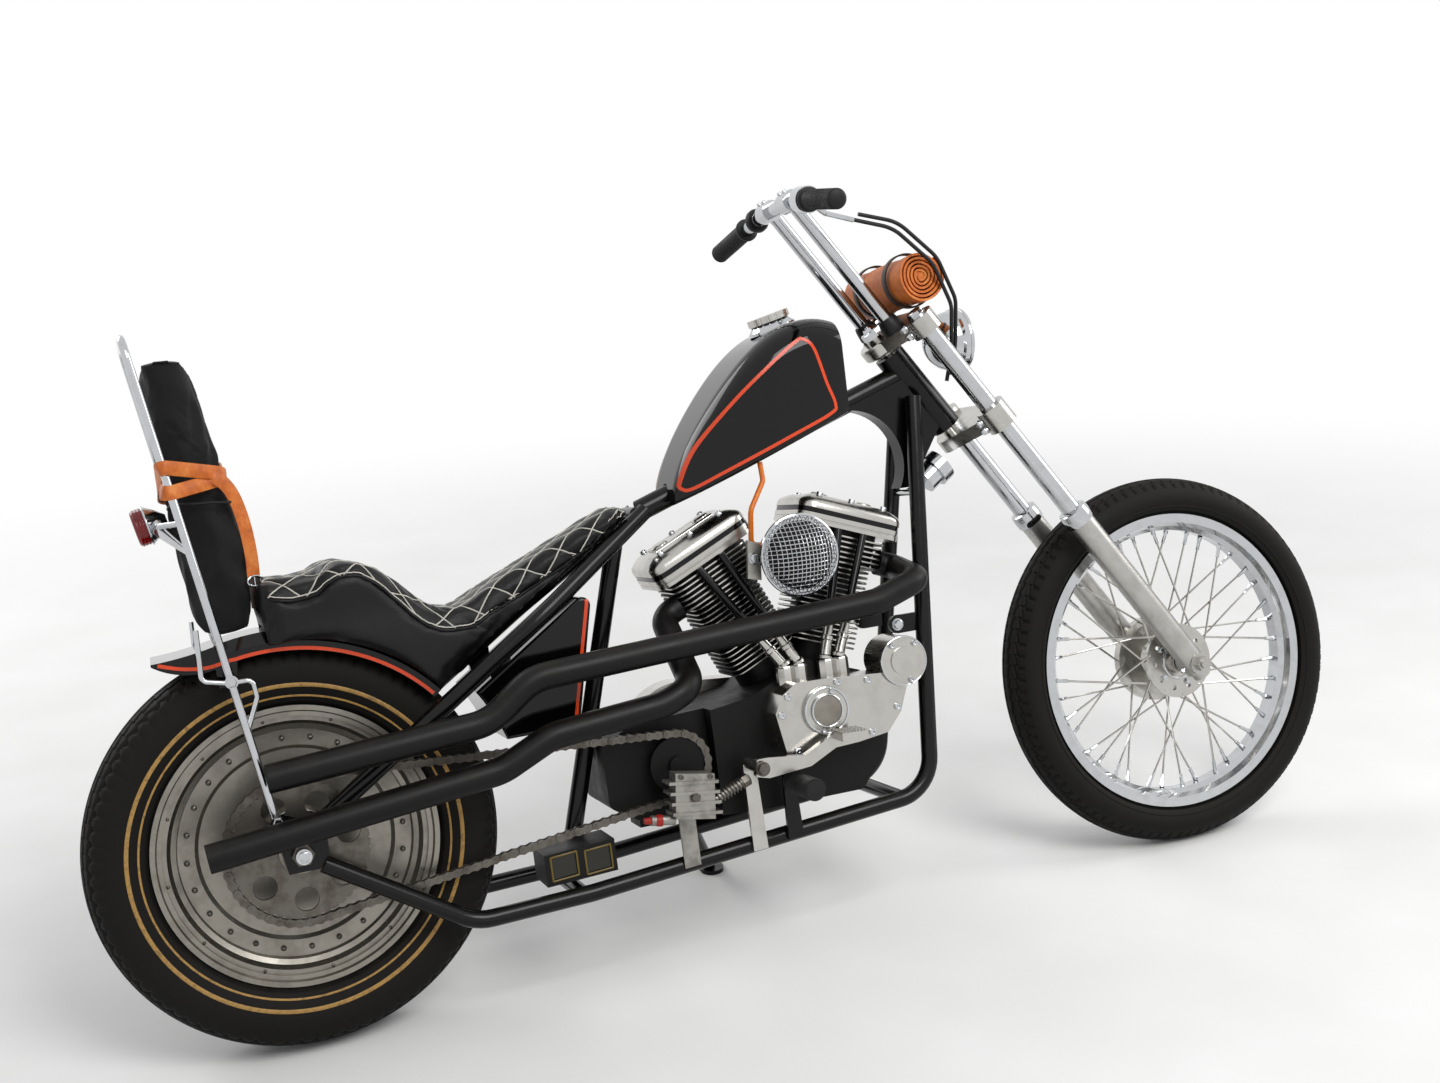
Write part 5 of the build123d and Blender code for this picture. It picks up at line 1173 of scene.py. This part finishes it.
class CHOPPER_OT_seat(bpy.types.Operator):
    """Padded vinyl seat with its quilted top, stitching and welt"""

    bl_idname = "chopper.seat"
    bl_label = "Seat"

    def execute(self, context):
        pitch = context.scene.chopper_sizes.quilt_pitch
        mesh = soften("seat", "seat_cover", 5.0, 4.0, 7.0, 4.0)
        points = read_points(mesh)
        normals = read_points(mesh, "normal")
        settle("seat_form", mesh.copy(), "frame", "leather_grain_vinyl")
        girth = seat_girth("seat_form")[2]
        bpy.data.objects.remove(bpy.data.objects["seat_form"])
        x, y, z = points.T
        middle = seat_middle(x)
        turn = np.arctan2(y, z - middle)
        row = (x - SEAT_X[0]) / (SEAT_X[1] - SEAT_X[0])
        column = (turn - SEAT_TURN[0]) / (SEAT_TURN[1] - SEAT_TURN[0])
        row = np.clip(row, 0, len(SEAT_X) - 1).astype(int)
        column = np.clip(column, 0, len(SEAT_TURN) - 1).astype(int)
        v = girth[row, column]
        inside = quilt_half(x) - np.abs(v)
        above = (np.abs(turn) < radians(84)) & (x > 2) & (x < 600)
        zone = np.clip(np.minimum(inside, np.minimum(x - 2, 598 - x)) / 8, 0, 1) * above
        # Puffed between the stitch lines: |sin| of each family of diagonals, multiplied
        puff = np.abs(np.sin(pi * (x + v) / (2 * pitch)) * np.sin(pi * (x - v) / (2 * pitch)))
        edge = np.exp(-((inside / 3.0) ** 2)) * above
        # The side is drawn in at its middle, as a cover pulled tight over its base is
        pinch = 2.5 * np.exp(-(((z - 680) / 36) ** 2)) * np.clip(np.abs(normals[:, 1]) * 1.4 - 0.4, 0, 1)
        points = points + normals * (3.2 * puff**0.6 * zone - 1.6 * edge - pinch)[:, None]
        mesh.vertices.foreach_set("co", place(points).ravel())
        mesh.update()
        seat = settle("seat_cover", mesh, "frame", "leather_grain_vinyl", ["seat"], 80)
        self.stitch(pitch)
        return {"FINISHED"}

    def stitch(self, pitch):
        """Threads along x + v = 2 k p and x - v = 2 k p, v the girth, and along both edges, with a welt."""
        points, normals, girth = seat_girth("seat_cover")
        limit = quilt_half(SEAT_X)

        def on_cover(route, rows):
            """Points and normals where a route crosses the sections, read off at its girth."""
            found = []
            for values in (points, normals):
                for i in rows:
                    found.append([np.interp(route[i], girth[i], values[i, :, j]) for j in range(3)])
            return np.reshape(found, (2, len(rows), 3))

        threads = []
        for way in (-1, 1):
            for k in range(-3, 14):
                route = way * (SEAT_X - 2 * k * pitch)
                rows = np.nonzero(np.abs(route) < limit - 1)[0]
                if len(rows) >= 5:
                    at, out = on_cover(route, rows)
                    threads.append(section_path(at + out * 0.5, circle(1.15, 5), reference=out))
        welts = []
        rows = np.arange(1, len(SEAT_X) - 1)
        for side in SIDES:
            at, out = on_cover(side * limit, rows)
            welts.append(section_path(at + out * 0.8, circle(2.4, 8), reference=out))
            threads.append(section_path(at + out * 1.2 + (0, 0, 5.0), circle(1.0, 5), reference=out))
        build("seat_stitching", threads, "frame", "grey_white_bonded_thread", "seat_vinyl")
        build("seat_welt", welts, "frame", "leather_grain_vinyl", "seat_vinyl")


# The right-hand rod where the strap goes round it
SISSY_ROD = (-116.2, -121)
STRAP_TAIL = (
    (-62, -73, 918), (-40, -70, 912), (-22, -58, 886), (-11, -49, 840), (-7, -44, 790), (-8, -42, 752),
)  # fmt: skip


class CHOPPER_OT_bag(bpy.types.Operator):
    """Stuffed bag between the rods, cinched by its strap, with the strap's hanging tail"""

    bl_idname = "chopper.bag"
    bl_label = "Bag and strap"

    def execute(self, context):
        mesh = soften("bag_roll", "bag_cover", 5.0, 4.0, 9.0, 4.0)
        points = read_points(mesh)
        normals = read_points(mesh, "normal")
        x, y, z = points.T
        around = np.arctan2(y, x + 70)
        # Folds run up and down, deepest beside the strap, and a few sags cross them
        cinch = np.exp(-(((z - 918) / 26) ** 2))
        low_cord = np.exp(-(((z - 878) / 9) ** 2))
        folds = np.sin(9 * around + 2.2 * np.sin(z / 60)) * (1.1 + 2.6 * np.exp(-(((z - 918) / 70) ** 2)))
        sags = 1.8 * np.sin(z / 23 + 2.5 * np.sin(2 * around)) + 1.2 * np.sin(z / 11 + 4 * around)
        level = np.clip(1 - np.abs(normals[:, 2]) * 1.4, 0, 1)
        move = (folds + sags) * level * (1 - 0.85 * cinch) - 6.0 * cinch * level - 3.0 * low_cord * level
        points = points + normals * (move - 1.0)[:, None]
        mesh.vertices.foreach_set("co", place(points).ravel())
        mesh.update()
        bag = settle("bag_cover", mesh, "frame", "black_woven_nylon", ["bag_roll"], 80)
        self.strap()
        return {"FINISHED"}

    def strap(self):
        """A strap round bag and right-hand rod, its tail and buckle, and a thin cord below."""
        bag = rounded_rectangle(96, 142, 36, 9) + (-78, 0)
        rod = circle(8.6, 16) + SISSY_ROD
        for_hull = np.concatenate([bag, rod])
        # The loop is the hull of both: the furthest point in each of many directions
        way = circle(1, 240)
        order = np.argmax(for_hull @ way.T, axis=0)
        hull = for_hull[order[np.concatenate([[True], np.diff(order) != 0])]]
        patches = []
        for level, tilt in ((917, 0.18), (915, -0.22)):
            around = np.column_stack([hull, level + tilt * (hull[:, 1] + 30)])
            length = np.linalg.norm(np.roll(around, -1, 0) - around, axis=1)
            reach = np.concatenate([[0], np.cumsum(length)])
            s = np.linspace(0, reach[-1], 110, endpoint=False)
            looped = np.vstack([around, around[:1]])
            around = np.stack([np.interp(s, reach, looped[:, j]) for j in range(3)], -1)
            out = around - (-84, -20, 0)
            out[:, 2] = 0
            lift = 3.4 if tilt < 0 else 0
            around = around + lift * out / np.linalg.norm(out, axis=1)[:, None]
            patches.append(section_path(around, strap_section(3.0, 22), True, out))
        tail = smooth_path(STRAP_TAIL, 44)
        facing = np.linspace(0, 1, 44)[:, None] * np.array([0.35, -0.6, 0]) + (0.3, -0.8, 0.05)
        patches.append(section_path(tail, strap_section(3.0, 22), False, facing))
        build("bag_strap_leather", patches, "frame", "oiled_tan_cowhide", "tan_leather", ["bag_strap"], 50)
        end = smooth_path([(-8, -42.5, 756), (-8, -42, 736), (-9, -41, 706)], 8)
        dark = [section_path(end, strap_section(4.4, 20), False, (0.4, -0.9, 0))]
        build("bag_strap_end", dark, "frame", "dark_harness_leather", "tan_leather")
        t = np.linspace(0, 2 * pi, 24, endpoint=False)
        loop = np.array([-6.5, -45.5, 748]) + np.outer(13 * np.cos(t), (0.9, 0.4, 0))
        loop = loop + np.outer(8 * np.sin(t), (0, 0, 1))
        buckle = [section_path(loop, circle(1.8, 7), True, (0.4, -0.9, 0))]
        pin = [(-7, -45.5, 740), (-7, -45.5, 756)]
        buckle.append(section_path(pin, circle(1.5, 7), False, (0.4, -0.9, 0)))
        build("bag_strap_buckle", buckle, "frame", "chromium_plate", "chrome")
        flat = rounded_rectangle(99, 148, 36, 8)
        cord = np.column_stack([flat, np.zeros(len(flat))]) + (-69, 0, 878)
        cord[:, 2] += 3 * np.sin(np.linspace(0, 4 * pi, len(cord), endpoint=False))
        cord = [section_path(cord, circle(2.2, 7), True)]
        build("bag_cord", cord, "frame", "moulded_black_rubber", "bag_cloth")


ROLL_D = 96
ROLL_ENDS = ((897, 45, -108), (897, 29, 108))
STRAP_PLACES = (50, 162)
TREE_TOP = 846


class CHOPPER_OT_tool_roll(bpy.types.Operator):
    """Leather wound in a spiral, with two buckled straps"""

    bl_idname = "chopper.tool_roll"
    bl_label = "Tool roll"

    def execute(self, context):
        near, far = (on_fork(*end) for end in ROLL_ENDS)
        length = np.linalg.norm(far - near)
        axis = (far - near) / length
        u, v = square_to(axis)
        # Spiral wall: radius falls 7 mm a turn, the leather 4 mm thick, its start tapered to nothing
        t = np.linspace(0, 5.6 * 2 * pi, 250)
        r = ROLL_D / 2 - 0.8 - 7.0 * t / (2 * pi)
        thick = 4.0 * np.clip(t / 0.3, 0.25, 1)
        stations = np.linspace(0, length, 42)
        swell = 1 - 0.04 * np.exp(-(((stations - STRAP_PLACES[0]) / 13) ** 2))
        swell -= 0.04 * np.exp(-(((stations - STRAP_PLACES[1]) / 13) ** 2))
        outer = r[None] * swell[:, None] + 0.6 * np.sin(3 * t + stations[:, None] / 20) - 0.6
        wall = np.concatenate([outer, (outer - thick)[:, ::-1]], 1)
        angle = np.concatenate([t, t[::-1]]) + 2.4
        points = (
            near
            + stations[:, None, None] * axis
            + (wall * np.cos(angle))[..., None] * u
            + (wall * np.sin(angle))[..., None] * v
        )
        patches = [grid(points, (False, True))]
        for end in (0, -1):
            half = len(t)
            patches.append(grid(np.stack([points[end, :half], points[end, half:][::-1]])))
        core = turned([(3, 0), (3, 10), (length - 3, 10), (length - 3, 0)], near, axis, 24)
        hide = ("front_end", "oiled_tan_cowhide", "tan_leather")
        build("tool_roll_leather", patches, *hide, ["tool_roll"], 45)
        build("tool_roll_core", [core], *hide)
        straps = []
        metal_bits = []
        for along in STRAP_PLACES:
            turn = np.linspace(0, 2 * pi, 48, endpoint=False)
            out = np.cos(turn)[:, None] * u + np.sin(turn)[:, None] * v
            path = near + axis * along + (ROLL_D / 2 - 0.8) * out
            straps.append(section_path(path, strap_section(3.0, 15), True, out))
            side = np.cos(2.6) * u + np.sin(2.6) * v
            centre = near + axis * along + (ROLL_D / 2 + 1.6) * side
            cross = np.cross(side, axis)
            square = rounded_rectangle(26, 22, 4, 4)
            loop = centre + square[:, :1] * axis + square[:, 1:] * cross
            metal_bits.append(section_path(loop, circle(1.5, 6), True, side))
        build("tool_roll_straps", straps, "front_end", "dark_harness_leather", "tan_leather")
        build("tool_roll_buckles", metal_bits, "front_end", "chromium_plate", "chrome")
        return {"FINISHED"}


def along_bar(y):
    """Point on one of the handlebar's outer stretches at a sideways distance."""
    side = 1 if y > 0 else -1
    inner = on_fork(1141, -37, side * 70)
    outer = on_fork(1119, -71, side * 288)
    return inner + (outer - inner) * (abs(y) - 70) / 218


# Pegs: their place in the side view, and where each rubber starts
PEG = (800, 290)
PEG_STARTS = ((-1, 146.6), (1, 184))


class CHOPPER_OT_rubber(bpy.types.Operator):
    """Ribbed grips and foot pegs"""

    bl_idname = "chopper.rubber"
    bl_label = "Grips and pegs"

    def execute(self, context):
        patches = []
        for side in SIDES:
            inner, outer = along_bar(side * 150), along_bar(side * 288)
            reach = np.linalg.norm(outer - inner)
            d = np.linspace(7, reach - 4, 120)
            # Ribs every 6.5 mm, 1.3 mm high: radius plus a squared-off cosine
            r = 15.9 + 1.2 * np.clip(1.6 * np.cos(2 * pi * d / 6.5) + 0.4, 0, 1)
            body = np.stack([d, r], -1)
            start = [(-0.5, 13), (0, 20), (1, 21), (5, 21), (6.4, 19.5)]
            end = [(reach - 2, 15.6), (reach, 12), (reach + 0.3, 0)]
            patches.append(turned(np.vstack([start, body, end]), inner, outer - inner, 40))
        build("ribbed_grips", patches, "front_end", "moulded_black_rubber", "grip_rubber", ["grips"], 40)
        pegs = []
        for side, start in PEG_STARTS:
            reach = 251 - start
            d = np.linspace(2, reach - 4, 90)
            r = 17.1 + 1.5 * np.clip(1.6 * np.cos(2 * pi * d / 9) + 0.4, 0, 1)
            ribs = np.stack([d, r], -1)
            profile = np.vstack([[(-0.4, 0), (-0.4, 17.2)], ribs, [(reach - 1, 16), (reach, 0)]])
            pegs.append(turned(profile, (PEG[0], side * start, PEG[1]), LEFT * side, 32))
        build("ribbed_pegs", pegs, "frame", "moulded_black_rubber", "grip_rubber", crease=40)
        return {"FINISHED"}


# Slider collar: distance up the fork from the slider's top, and radius
SLIDER_TOP = 384
COLLAR = ((-26, 24), (-26, 26.8), (-23, 27.6), (-6, 27.6), (-3, 26.8), (2, 26.8), (4, 24), (5, 17.6))
HEADLIGHT = np.array([1288, 0, 998])


class CHOPPER_OT_front_end(bpy.types.Operator):
    """Pinch bolts, stem nut, riser bushings, slider collars, lamp rim and clamp screws"""

    bl_idname = "chopper.front_end"
    bl_label = "Front end hardware"

    def execute(self, context):
        bright = []
        for along in (614, 834):
            for side in SIDES:
                for step in (-8, 8):
                    base = on_fork(along + step, -30, side * (FORK_HALF_SPACING - 6))
                    bright += hexagon_head(base, -AHEAD, 11, 7)
        for side in SIDES:
            y = side * FORK_HALF_SPACING
            bright.append(turned(COLLAR, on_fork(SLIDER_TOP, 0, y), UP_FORK, 48))
            cap = [(3.5, 0), (3.5, 15), (10, 15), (12, 12), (12, 0)]
            bright.append(turned(cap, on_fork(TREE_TOP, 0, y), UP_FORK, 6))
            for x_side in (-11, 11):
                start = on_fork(1141 + 18, -37, side * 50 + x_side)
                bright += socket_head(start, UP_FORK, 8, 5)
            bright += hexagon_head(on_fork(4, -24, y), -AHEAD, 9, 5)
        nut = [(0, 0), (0, 20), (12, 20), (14, 17), (14, 12), (20, 10), (20, 0)]
        bright.append(turned(nut, on_fork(854, -50), UP_FORK, 6))
        bright.append(ring(55.5, 2.8, 4.5, HEADLIGHT - (1, 0, 0), (1, 0, 0), 64))
        boss = [(-24, 0), (-24, 36), (-21, 39), (-3, 39), (0, 36), (0, 0)]
        boss = [turned(boss, on_fork(TREE_TOP, -50), UP_FORK, 56)]
        build("top_tree_boss", boss, "front_end", "buffed_cast_aluminium", "polished_alloy")
        build("fork_hardware", bright, "front_end", "chromium_plate", "chrome")
        bushings = []
        for side in SIDES:
            sleeve = [(0, 12.6), (0, 20), (4, 21), (22, 18), (28, 16), (28, 12.6)]
            bushings.append(turned(sleeve, on_fork(TREE_TOP + 0.3, -33, side * 50), UP_FORK, 32))
        build("riser_bushings", bushings, "front_end", "moulded_black_rubber", "grip_rubber")
        perch = [(0, 13), (0, 20), (5, 22), (11, 22), (16, 20), (16, 13)]
        clutch = [turned(perch, along_bar(96), along_bar(112) - along_bar(96), 36)]
        build("clutch_perch_ring", clutch, "front_end", "blackened_casting", "dark_alloy")
        return {"FINISHED"}


# Foot controls: pad corners, rod ends and the cylinder's face
PAD = ((868, 368.4), (914, 366.4))
ROD = ((658, 285), (712, 304.6))
CYLINDER_Y = -146


class CHOPPER_OT_controls(bpy.types.Operator):
    """Pedal pad, spring, red boot and cylinder screws"""

    bl_idname = "chopper.controls"
    bl_label = "Foot controls"

    def execute(self, context):
        # Pad: rows of pyramids, as the smaller of two triangle waves, over a flat sheet 0.8 mm lower
        s, t = np.meshgrid(np.linspace(0, 1, 41), np.linspace(0, 1, 41), indexing="ij")
        peak = 2.6 * np.minimum(1 - np.abs((s * 8) % 1 * 2 - 1), 1 - np.abs((t * 8) % 1 * 2 - 1))
        x = PAD[0][0] + (PAD[1][0] - PAD[0][0]) * s
        z = PAD[0][1] + (PAD[1][1] - PAD[0][1]) * s
        top = np.stack([x, -178 - 48 * t, z + peak], -1)
        pad = [grid(top), grid(np.stack([x, -178 - 48 * t, z - 0.8], -1))]
        build("pedal_pad_grip", pad, "frame", "milled_fin_edge", "chrome", crease=20)
        # Spring: p + 9.8 (u cos a + v sin a), a turning as p runs along the rod
        a = np.linspace(0, 2 * pi * 9, 190)[:, None]
        start, end = (np.array([x, CYLINDER_Y, z]) for x, z in ROD)
        u, v = square_to(end - start)
        coil = start + (end - start) * a / a[-1] + 9.8 * (u * np.cos(a) + v * np.sin(a))
        bright = [section_path(coil, circle(1.5, 6), False, end - start)]
        for x, z in ((602, 337), (652, 329)):
            bright += socket_head((x, -168, z), -LEFT, 8, 3)
        bright += hexagon_head((622, -165, 300), -LEFT, 13, 6)
        bright += hexagon_head((733, -198, 330), -LEFT, 17, 7)
        bright.append(turned([(0, 0), (0, 11), (12, 11), (14, 8), (14, 0)], end, end - start, 6))
        build("brake_linkage", bright, "frame", "oiled_machined_steel", "bare_steel")
        boot = [(0, 0), (0, 10), (6, 10), (20, 6), (30, 5), (31, 0)]
        boot = turned(boot, (566, CYLINDER_Y, 269.3), (-1, 0, 0.15), 24)
        build("hose_boot", [boot], "frame", "red_rubber_boot", "hose_orange")
        frames = []
        windows = []
        for x in (384, 442):
            corners = np.array([(x, 196), (x + 44, 199), (x + 44, 238), (x, 235)], float)
            edge = np.stack([corners[:, 0], np.full(4, -100.4), corners[:, 1]], -1)
            # Each corner twice, a hair apart, so that the frame turns it sharply
            edge = np.repeat(edge, 2, 0) + np.tile([[0.01, 0, 0], [-0.01, 0, 0]], (4, 1))
            frames.append(section_path(edge, circle(1.6, 6), True))
            inset = corners + (corners.mean(0) - corners) * 0.06
            flat = np.stack([inset[:, 0], np.full(4, -97.0), inset[:, 1]], -1)
            back = flat + (0, 0.8, 0)
            rows = np.stack([flat, back])
            windows.append(grid(rows, (False, True)))
            windows.append(grid(np.stack([flat[[0, 1]], flat[[3, 2]]])))
            windows.append(grid(np.stack([back[[0, 1]], back[[3, 2]]])))
        build("panel_frames", frames, "frame", "amber_plastic_frame", "dark_alloy")
        build("panel_windows", windows, "frame", "smoked_olive_plastic", "dark_alloy")
        return {"FINISHED"}


# Tail light, pipe mouths, engine mount lug and filler cap
LIGHT = np.array([-152, 0, 856])
LIGHT_AXIS = np.array([-0.98, 0, -0.2])
MOUTHS = (((-38, -168, 456), (-1, 0, -0.0729)), ((-138, -168, 354), (-1, 0, -0.1084)))
LUG = np.array([1109, 78, 511])
CAP = np.array([926, 0, 1056])
CAP_AXIS = np.array([-0.24, 0, 0.97])


class CHOPPER_OT_frame_hardware(bpy.types.Operator):
    """Sissy bar and axle nuts, mount lugs, tail light's rim and stem, pipe mouths, filler's collar"""

    bl_idname = "chopper.frame_hardware"
    bl_label = "Frame hardware"

    def execute(self, context):
        bright = []
        lugs = []
        for side in SIDES:
            bright += hexagon_head((-66.9, side * 130, 605), LEFT * side, 14, 7)
            bright += hexagon_head((-30, side * 131, 380), LEFT * side, 16, 8)
            bright += hexagon_head((0, side * 140, 324), LEFT * side, 17, 5)
            bolt = LUG * (1, side, 1) - (50, 0, 0)
            bright += hexagon_head(bolt, LEFT * side, 15, 6)
            # Lug: a flat strip from the downtube back to its bolt, round at the free end
            a = np.linspace(pi / 2, 3 * pi / 2, 9)
            free_end = bolt[[0, 2]] + 16 * np.stack([np.cos(a), np.sin(a)], -1)
            outline = np.concatenate([free_end, [(1106, 495), (1112, 527)]])
            face = np.stack([outline[:, 0], np.full(11, side * 78.0), outline[:, 1]], -1)
            back = face - LEFT * side * 8
            ends = [np.repeat(row.mean(0)[None], 11, 0) for row in (back, face)]
            lugs.append(grid(np.stack([ends[0], back, face, ends[1]]), (False, True)))
        build("frame_bolts", bright, "frame", "chromium_plate", "bare_steel")
        build("engine_mount_lugs", lugs, "frame", "frame_black_enamel", "black_paint")
        lens = [ring(29, 0.9, 1.4, LIGHT + along * LIGHT_AXIS, LIGHT_AXIS, 48) for along in (5, 10, 15)]
        build("tail_lens_rings", lens, "frame", "red_acrylic", "red_lens")
        # A rim round the lens, and a cone from the cup down to the right-hand rod
        bright = [ring(30.4, 1.6, 2.0, LIGHT, LIGHT_AXIS, 48)]
        start = LIGHT + (12, -14, -4)
        end = np.array([-98.5, -115, 807])
        length = np.linalg.norm(end - start)
        stem = [(0, 0), (0, 13), (length, 5.5), (length, 0)]
        bright.append(turned(stem, start, end - start, 24))
        build("tail_light_stem", bright, "frame", "chromium_plate", "chrome")
        # Painted shade as well as soot: flat near-black discs close the pipe mouths, standing in for the
        # shade inside the hollow pipes
        disc = [(-0.4, 0), (-0.4, 19.6), (0.4, 19.6), (0.4, 0)]
        mouth_soot_and_shade = [turned(disc, start, axis, 40) for start, axis in MOUTHS]
        build("pipe_mouths", mouth_soot_and_shade, "frame", "pipe_soot_and_painted_shade", "exhaust_black")
        rims = [ring(21, 1.3, 1.2, start, axis, 48) for start, axis in MOUTHS]
        build("pipe_rims", rims, "frame", "heatproof_black_on_steel", "exhaust_black")
        collar = [(-4, 30), (-4, 43), (1, 43), (8, 36), (12, 34), (12, 30)]
        build("filler_collar", [turned(collar, CAP, CAP_AXIS, 56)], "frame", "chromium_plate", "chrome")
        return {"FINISHED"}


class CHOPPER_OT_stage(bpy.types.Operator):
    """Floor, soft lamps, even world light and the camera"""

    bl_idname = "chopper.stage"
    bl_label = "Set the stage"

    def execute(self, context):
        sizes = context.scene.chopper_sizes
        floor_mesh = bpy.data.meshes.new("floor")
        reach = 40.0
        corners = [(-reach, -reach, 0), (reach, -reach, 0), (reach, reach, 0), (-reach, reach, 0)]
        floor_mesh.from_pydata(corners, [], [(0, 1, 2, 3)])
        floor = bpy.data.objects.new("floor", floor_mesh)
        context.scene.collection.objects.link(floor)
        floor_mesh.materials.append(pale_floor())
        world = bpy.data.worlds.new("even_light")
        context.scene.world = world
        world.use_nodes = True
        tree = world.node_tree
        tree.nodes.clear()
        seen = seen_as_background(tree)
        lit = node(tree, "Background", {"Color": linear("#f4f6fa"), "Strength": sizes.world_level})
        shown = node(tree, "Background", {"Color": (1, 1, 1, 1), "Strength": 1.0})
        both = node(tree, "MixShader", {0: seen, 1: lit.outputs[0], 2: shown.outputs[0]})
        node(tree, "OutputWorld", {"Surface": both.outputs[0]})
        middle = Vector((CAD_BOX[0][i] + CAD_BOX[1][i]) / 2 for i in range(3))
        for name, spot, size, share in (
            ("lamp_right", (0.8, -3.2, 3.8), 2.2, 1.0),
            ("lamp_front", (4.0, -0.8, 2.6), 2.0, 0.45),
            ("lamp_back", (-2.6, 3.4, 3.0), 2.4, 0.6),
        ):
            data = bpy.data.lights.new(name, "AREA")
            data.energy = sizes.lamp_power * share
            data.size = size
            lamp = bpy.data.objects.new(name, data)
            lamp.location = spot
            lamp.rotation_euler = (middle - Vector(spot)).to_track_quat("-Z", "Y").to_euler()
            context.scene.collection.objects.link(lamp)
        set_camera(context)
        context.scene.view_settings.view_transform = "Standard"
        return {"FINISHED"}


def seen_as_background(tree):
    """1 for rays that show what lies behind the machine: the camera's, off metal and through glass."""
    path = node(tree, "LightPath")
    seen = path.outputs["Is Camera Ray"]
    for other in ("Is Glossy Ray", "Is Transmission Ray"):
        seen = node(tree, "Math", {0: seen, 1: path.outputs[other]}, operation="MAXIMUM").outputs[0]
    return seen


def pale_floor():
    """Painted studio floor: keeps the shadow near the machine, and turns to plain white further off."""
    material, tree, shader, at = start_material("pale_studio_floor")
    tone = node(tree, "TexNoise", {"Vector": at, "Scale": 3.0})
    colour = node(tree, "ValToRGB", {"Fac": tone.outputs["Fac"]}, stops=((0.3, "#f3f2ef"), (0.8, "#fbfaf8")))
    tree.links.new(colour.outputs["Color"], shader.inputs["Base Color"])
    shader.inputs["Roughness"].default_value = 0.85
    shader.inputs["Specular IOR Level"].default_value = 0.05
    away = node(tree, "VectorMath", {0: at}, operation="LENGTH")
    fade = {0: away.outputs["Value"], 1: 1.5, 2: 5.0, 3: 0.0, 4: 1.0}
    share = node(tree, "MapRange", fade, interpolation_type="SMOOTHSTEP")
    white = node(tree, "Emission", {"Color": (1, 1, 1, 1), "Strength": 1.0})
    seen = seen_as_background(tree)
    factor = node(tree, "Math", {0: seen, 1: share.outputs[0]}, operation="MULTIPLY")
    both = node(tree, "MixShader", {0: factor.outputs[0], 1: shader.outputs[0], 2: white.outputs[0]})
    tree.links.new(both.outputs[0], tree.nodes["Material Output"].inputs["Surface"])
    return material


# The camera of the photograph, fitted on the wheels, rake and engine: upright mm and angles
CAMERA_AT = (-159.03, -2504.16, 1403.96)
CAMERA_YAW = 0.340201
CAMERA_PITCH = 0.251326
CAMERA_ROLL = 0.062332
FOCAL_PIXELS = 1664.67
PHOTO_WIDTH = 1440


def set_camera(context):
    """Camera at the photograph's place: yaw right from +Y, pitch down, and roll about the view."""
    ahead = Vector(
        (sin(CAMERA_YAW) * cos(CAMERA_PITCH), cos(CAMERA_YAW) * cos(CAMERA_PITCH), -sin(CAMERA_PITCH))
    )
    right = Vector((cos(CAMERA_YAW), -sin(CAMERA_YAW), 0))
    up = right.cross(ahead)
    roll = Matrix.Rotation(CAMERA_ROLL, 3, ahead)
    right, up = roll @ right, roll @ up
    data = bpy.data.cameras.new("photo_camera")
    data.sensor_fit = "HORIZONTAL"
    data.sensor_width = 36.0
    data.lens = FOCAL_PIXELS / PHOTO_WIDTH * data.sensor_width
    data.clip_end = 100
    camera = bpy.data.objects.new("photo_camera", data)
    turn = Matrix((right, up, -ahead)).transposed().to_4x4()
    camera.matrix_world = Matrix.Translation(Vector(CAMERA_AT) / 1000 + Vector(SET_DOWN)) @ turn
    context.scene.collection.objects.link(camera)
    context.scene.camera = camera


STEPS = (
    CHOPPER_OT_finishes,
    CHOPPER_OT_tyres,
    CHOPPER_OT_wheels,
    CHOPPER_OT_chain,
    CHOPPER_OT_engine,
    CHOPPER_OT_air_cleaner,
    CHOPPER_OT_lines,
    CHOPPER_OT_seat,
    CHOPPER_OT_bag,
    CHOPPER_OT_tool_roll,
    CHOPPER_OT_rubber,
    CHOPPER_OT_front_end,
    CHOPPER_OT_controls,
    CHOPPER_OT_frame_hardware,
    CHOPPER_OT_stage,
)


class CHOPPER_PT_panel(bpy.types.Panel):
    """Lists the steps in the 3D view's sidebar"""

    bl_idname = "CHOPPER_PT_panel"
    bl_label = "Chopper Dressing"
    bl_space_type = "VIEW_3D"
    bl_region_type = "UI"
    bl_category = "Chopper"

    def draw(self, context):
        sizes = context.scene.chopper_sizes
        for name in ChopperSizes.__annotations__:
            self.layout.prop(sizes, name)
        for step in STEPS:
            self.layout.operator(step.bl_idname)


def register():
    """Registers the sizes, the steps and the panel."""
    for item in (ChopperSizes, *STEPS, CHOPPER_PT_panel):
        bpy.utils.register_class(item)
    bpy.types.Scene.chopper_sizes = bpy.props.PointerProperty(type=ChopperSizes)


def unregister():
    """Takes them out again."""
    del bpy.types.Scene.chopper_sizes
    for item in (CHOPPER_PT_panel, *reversed(STEPS), ChopperSizes):
        bpy.utils.unregister_class(item)


def main():
    register()
    for step in STEPS:
        group, name = step.bl_idname.split(".")
        getattr(getattr(bpy.ops, group), name)()
    bpy.context.view_layer.update()


if __name__ == "__main__":
    main()
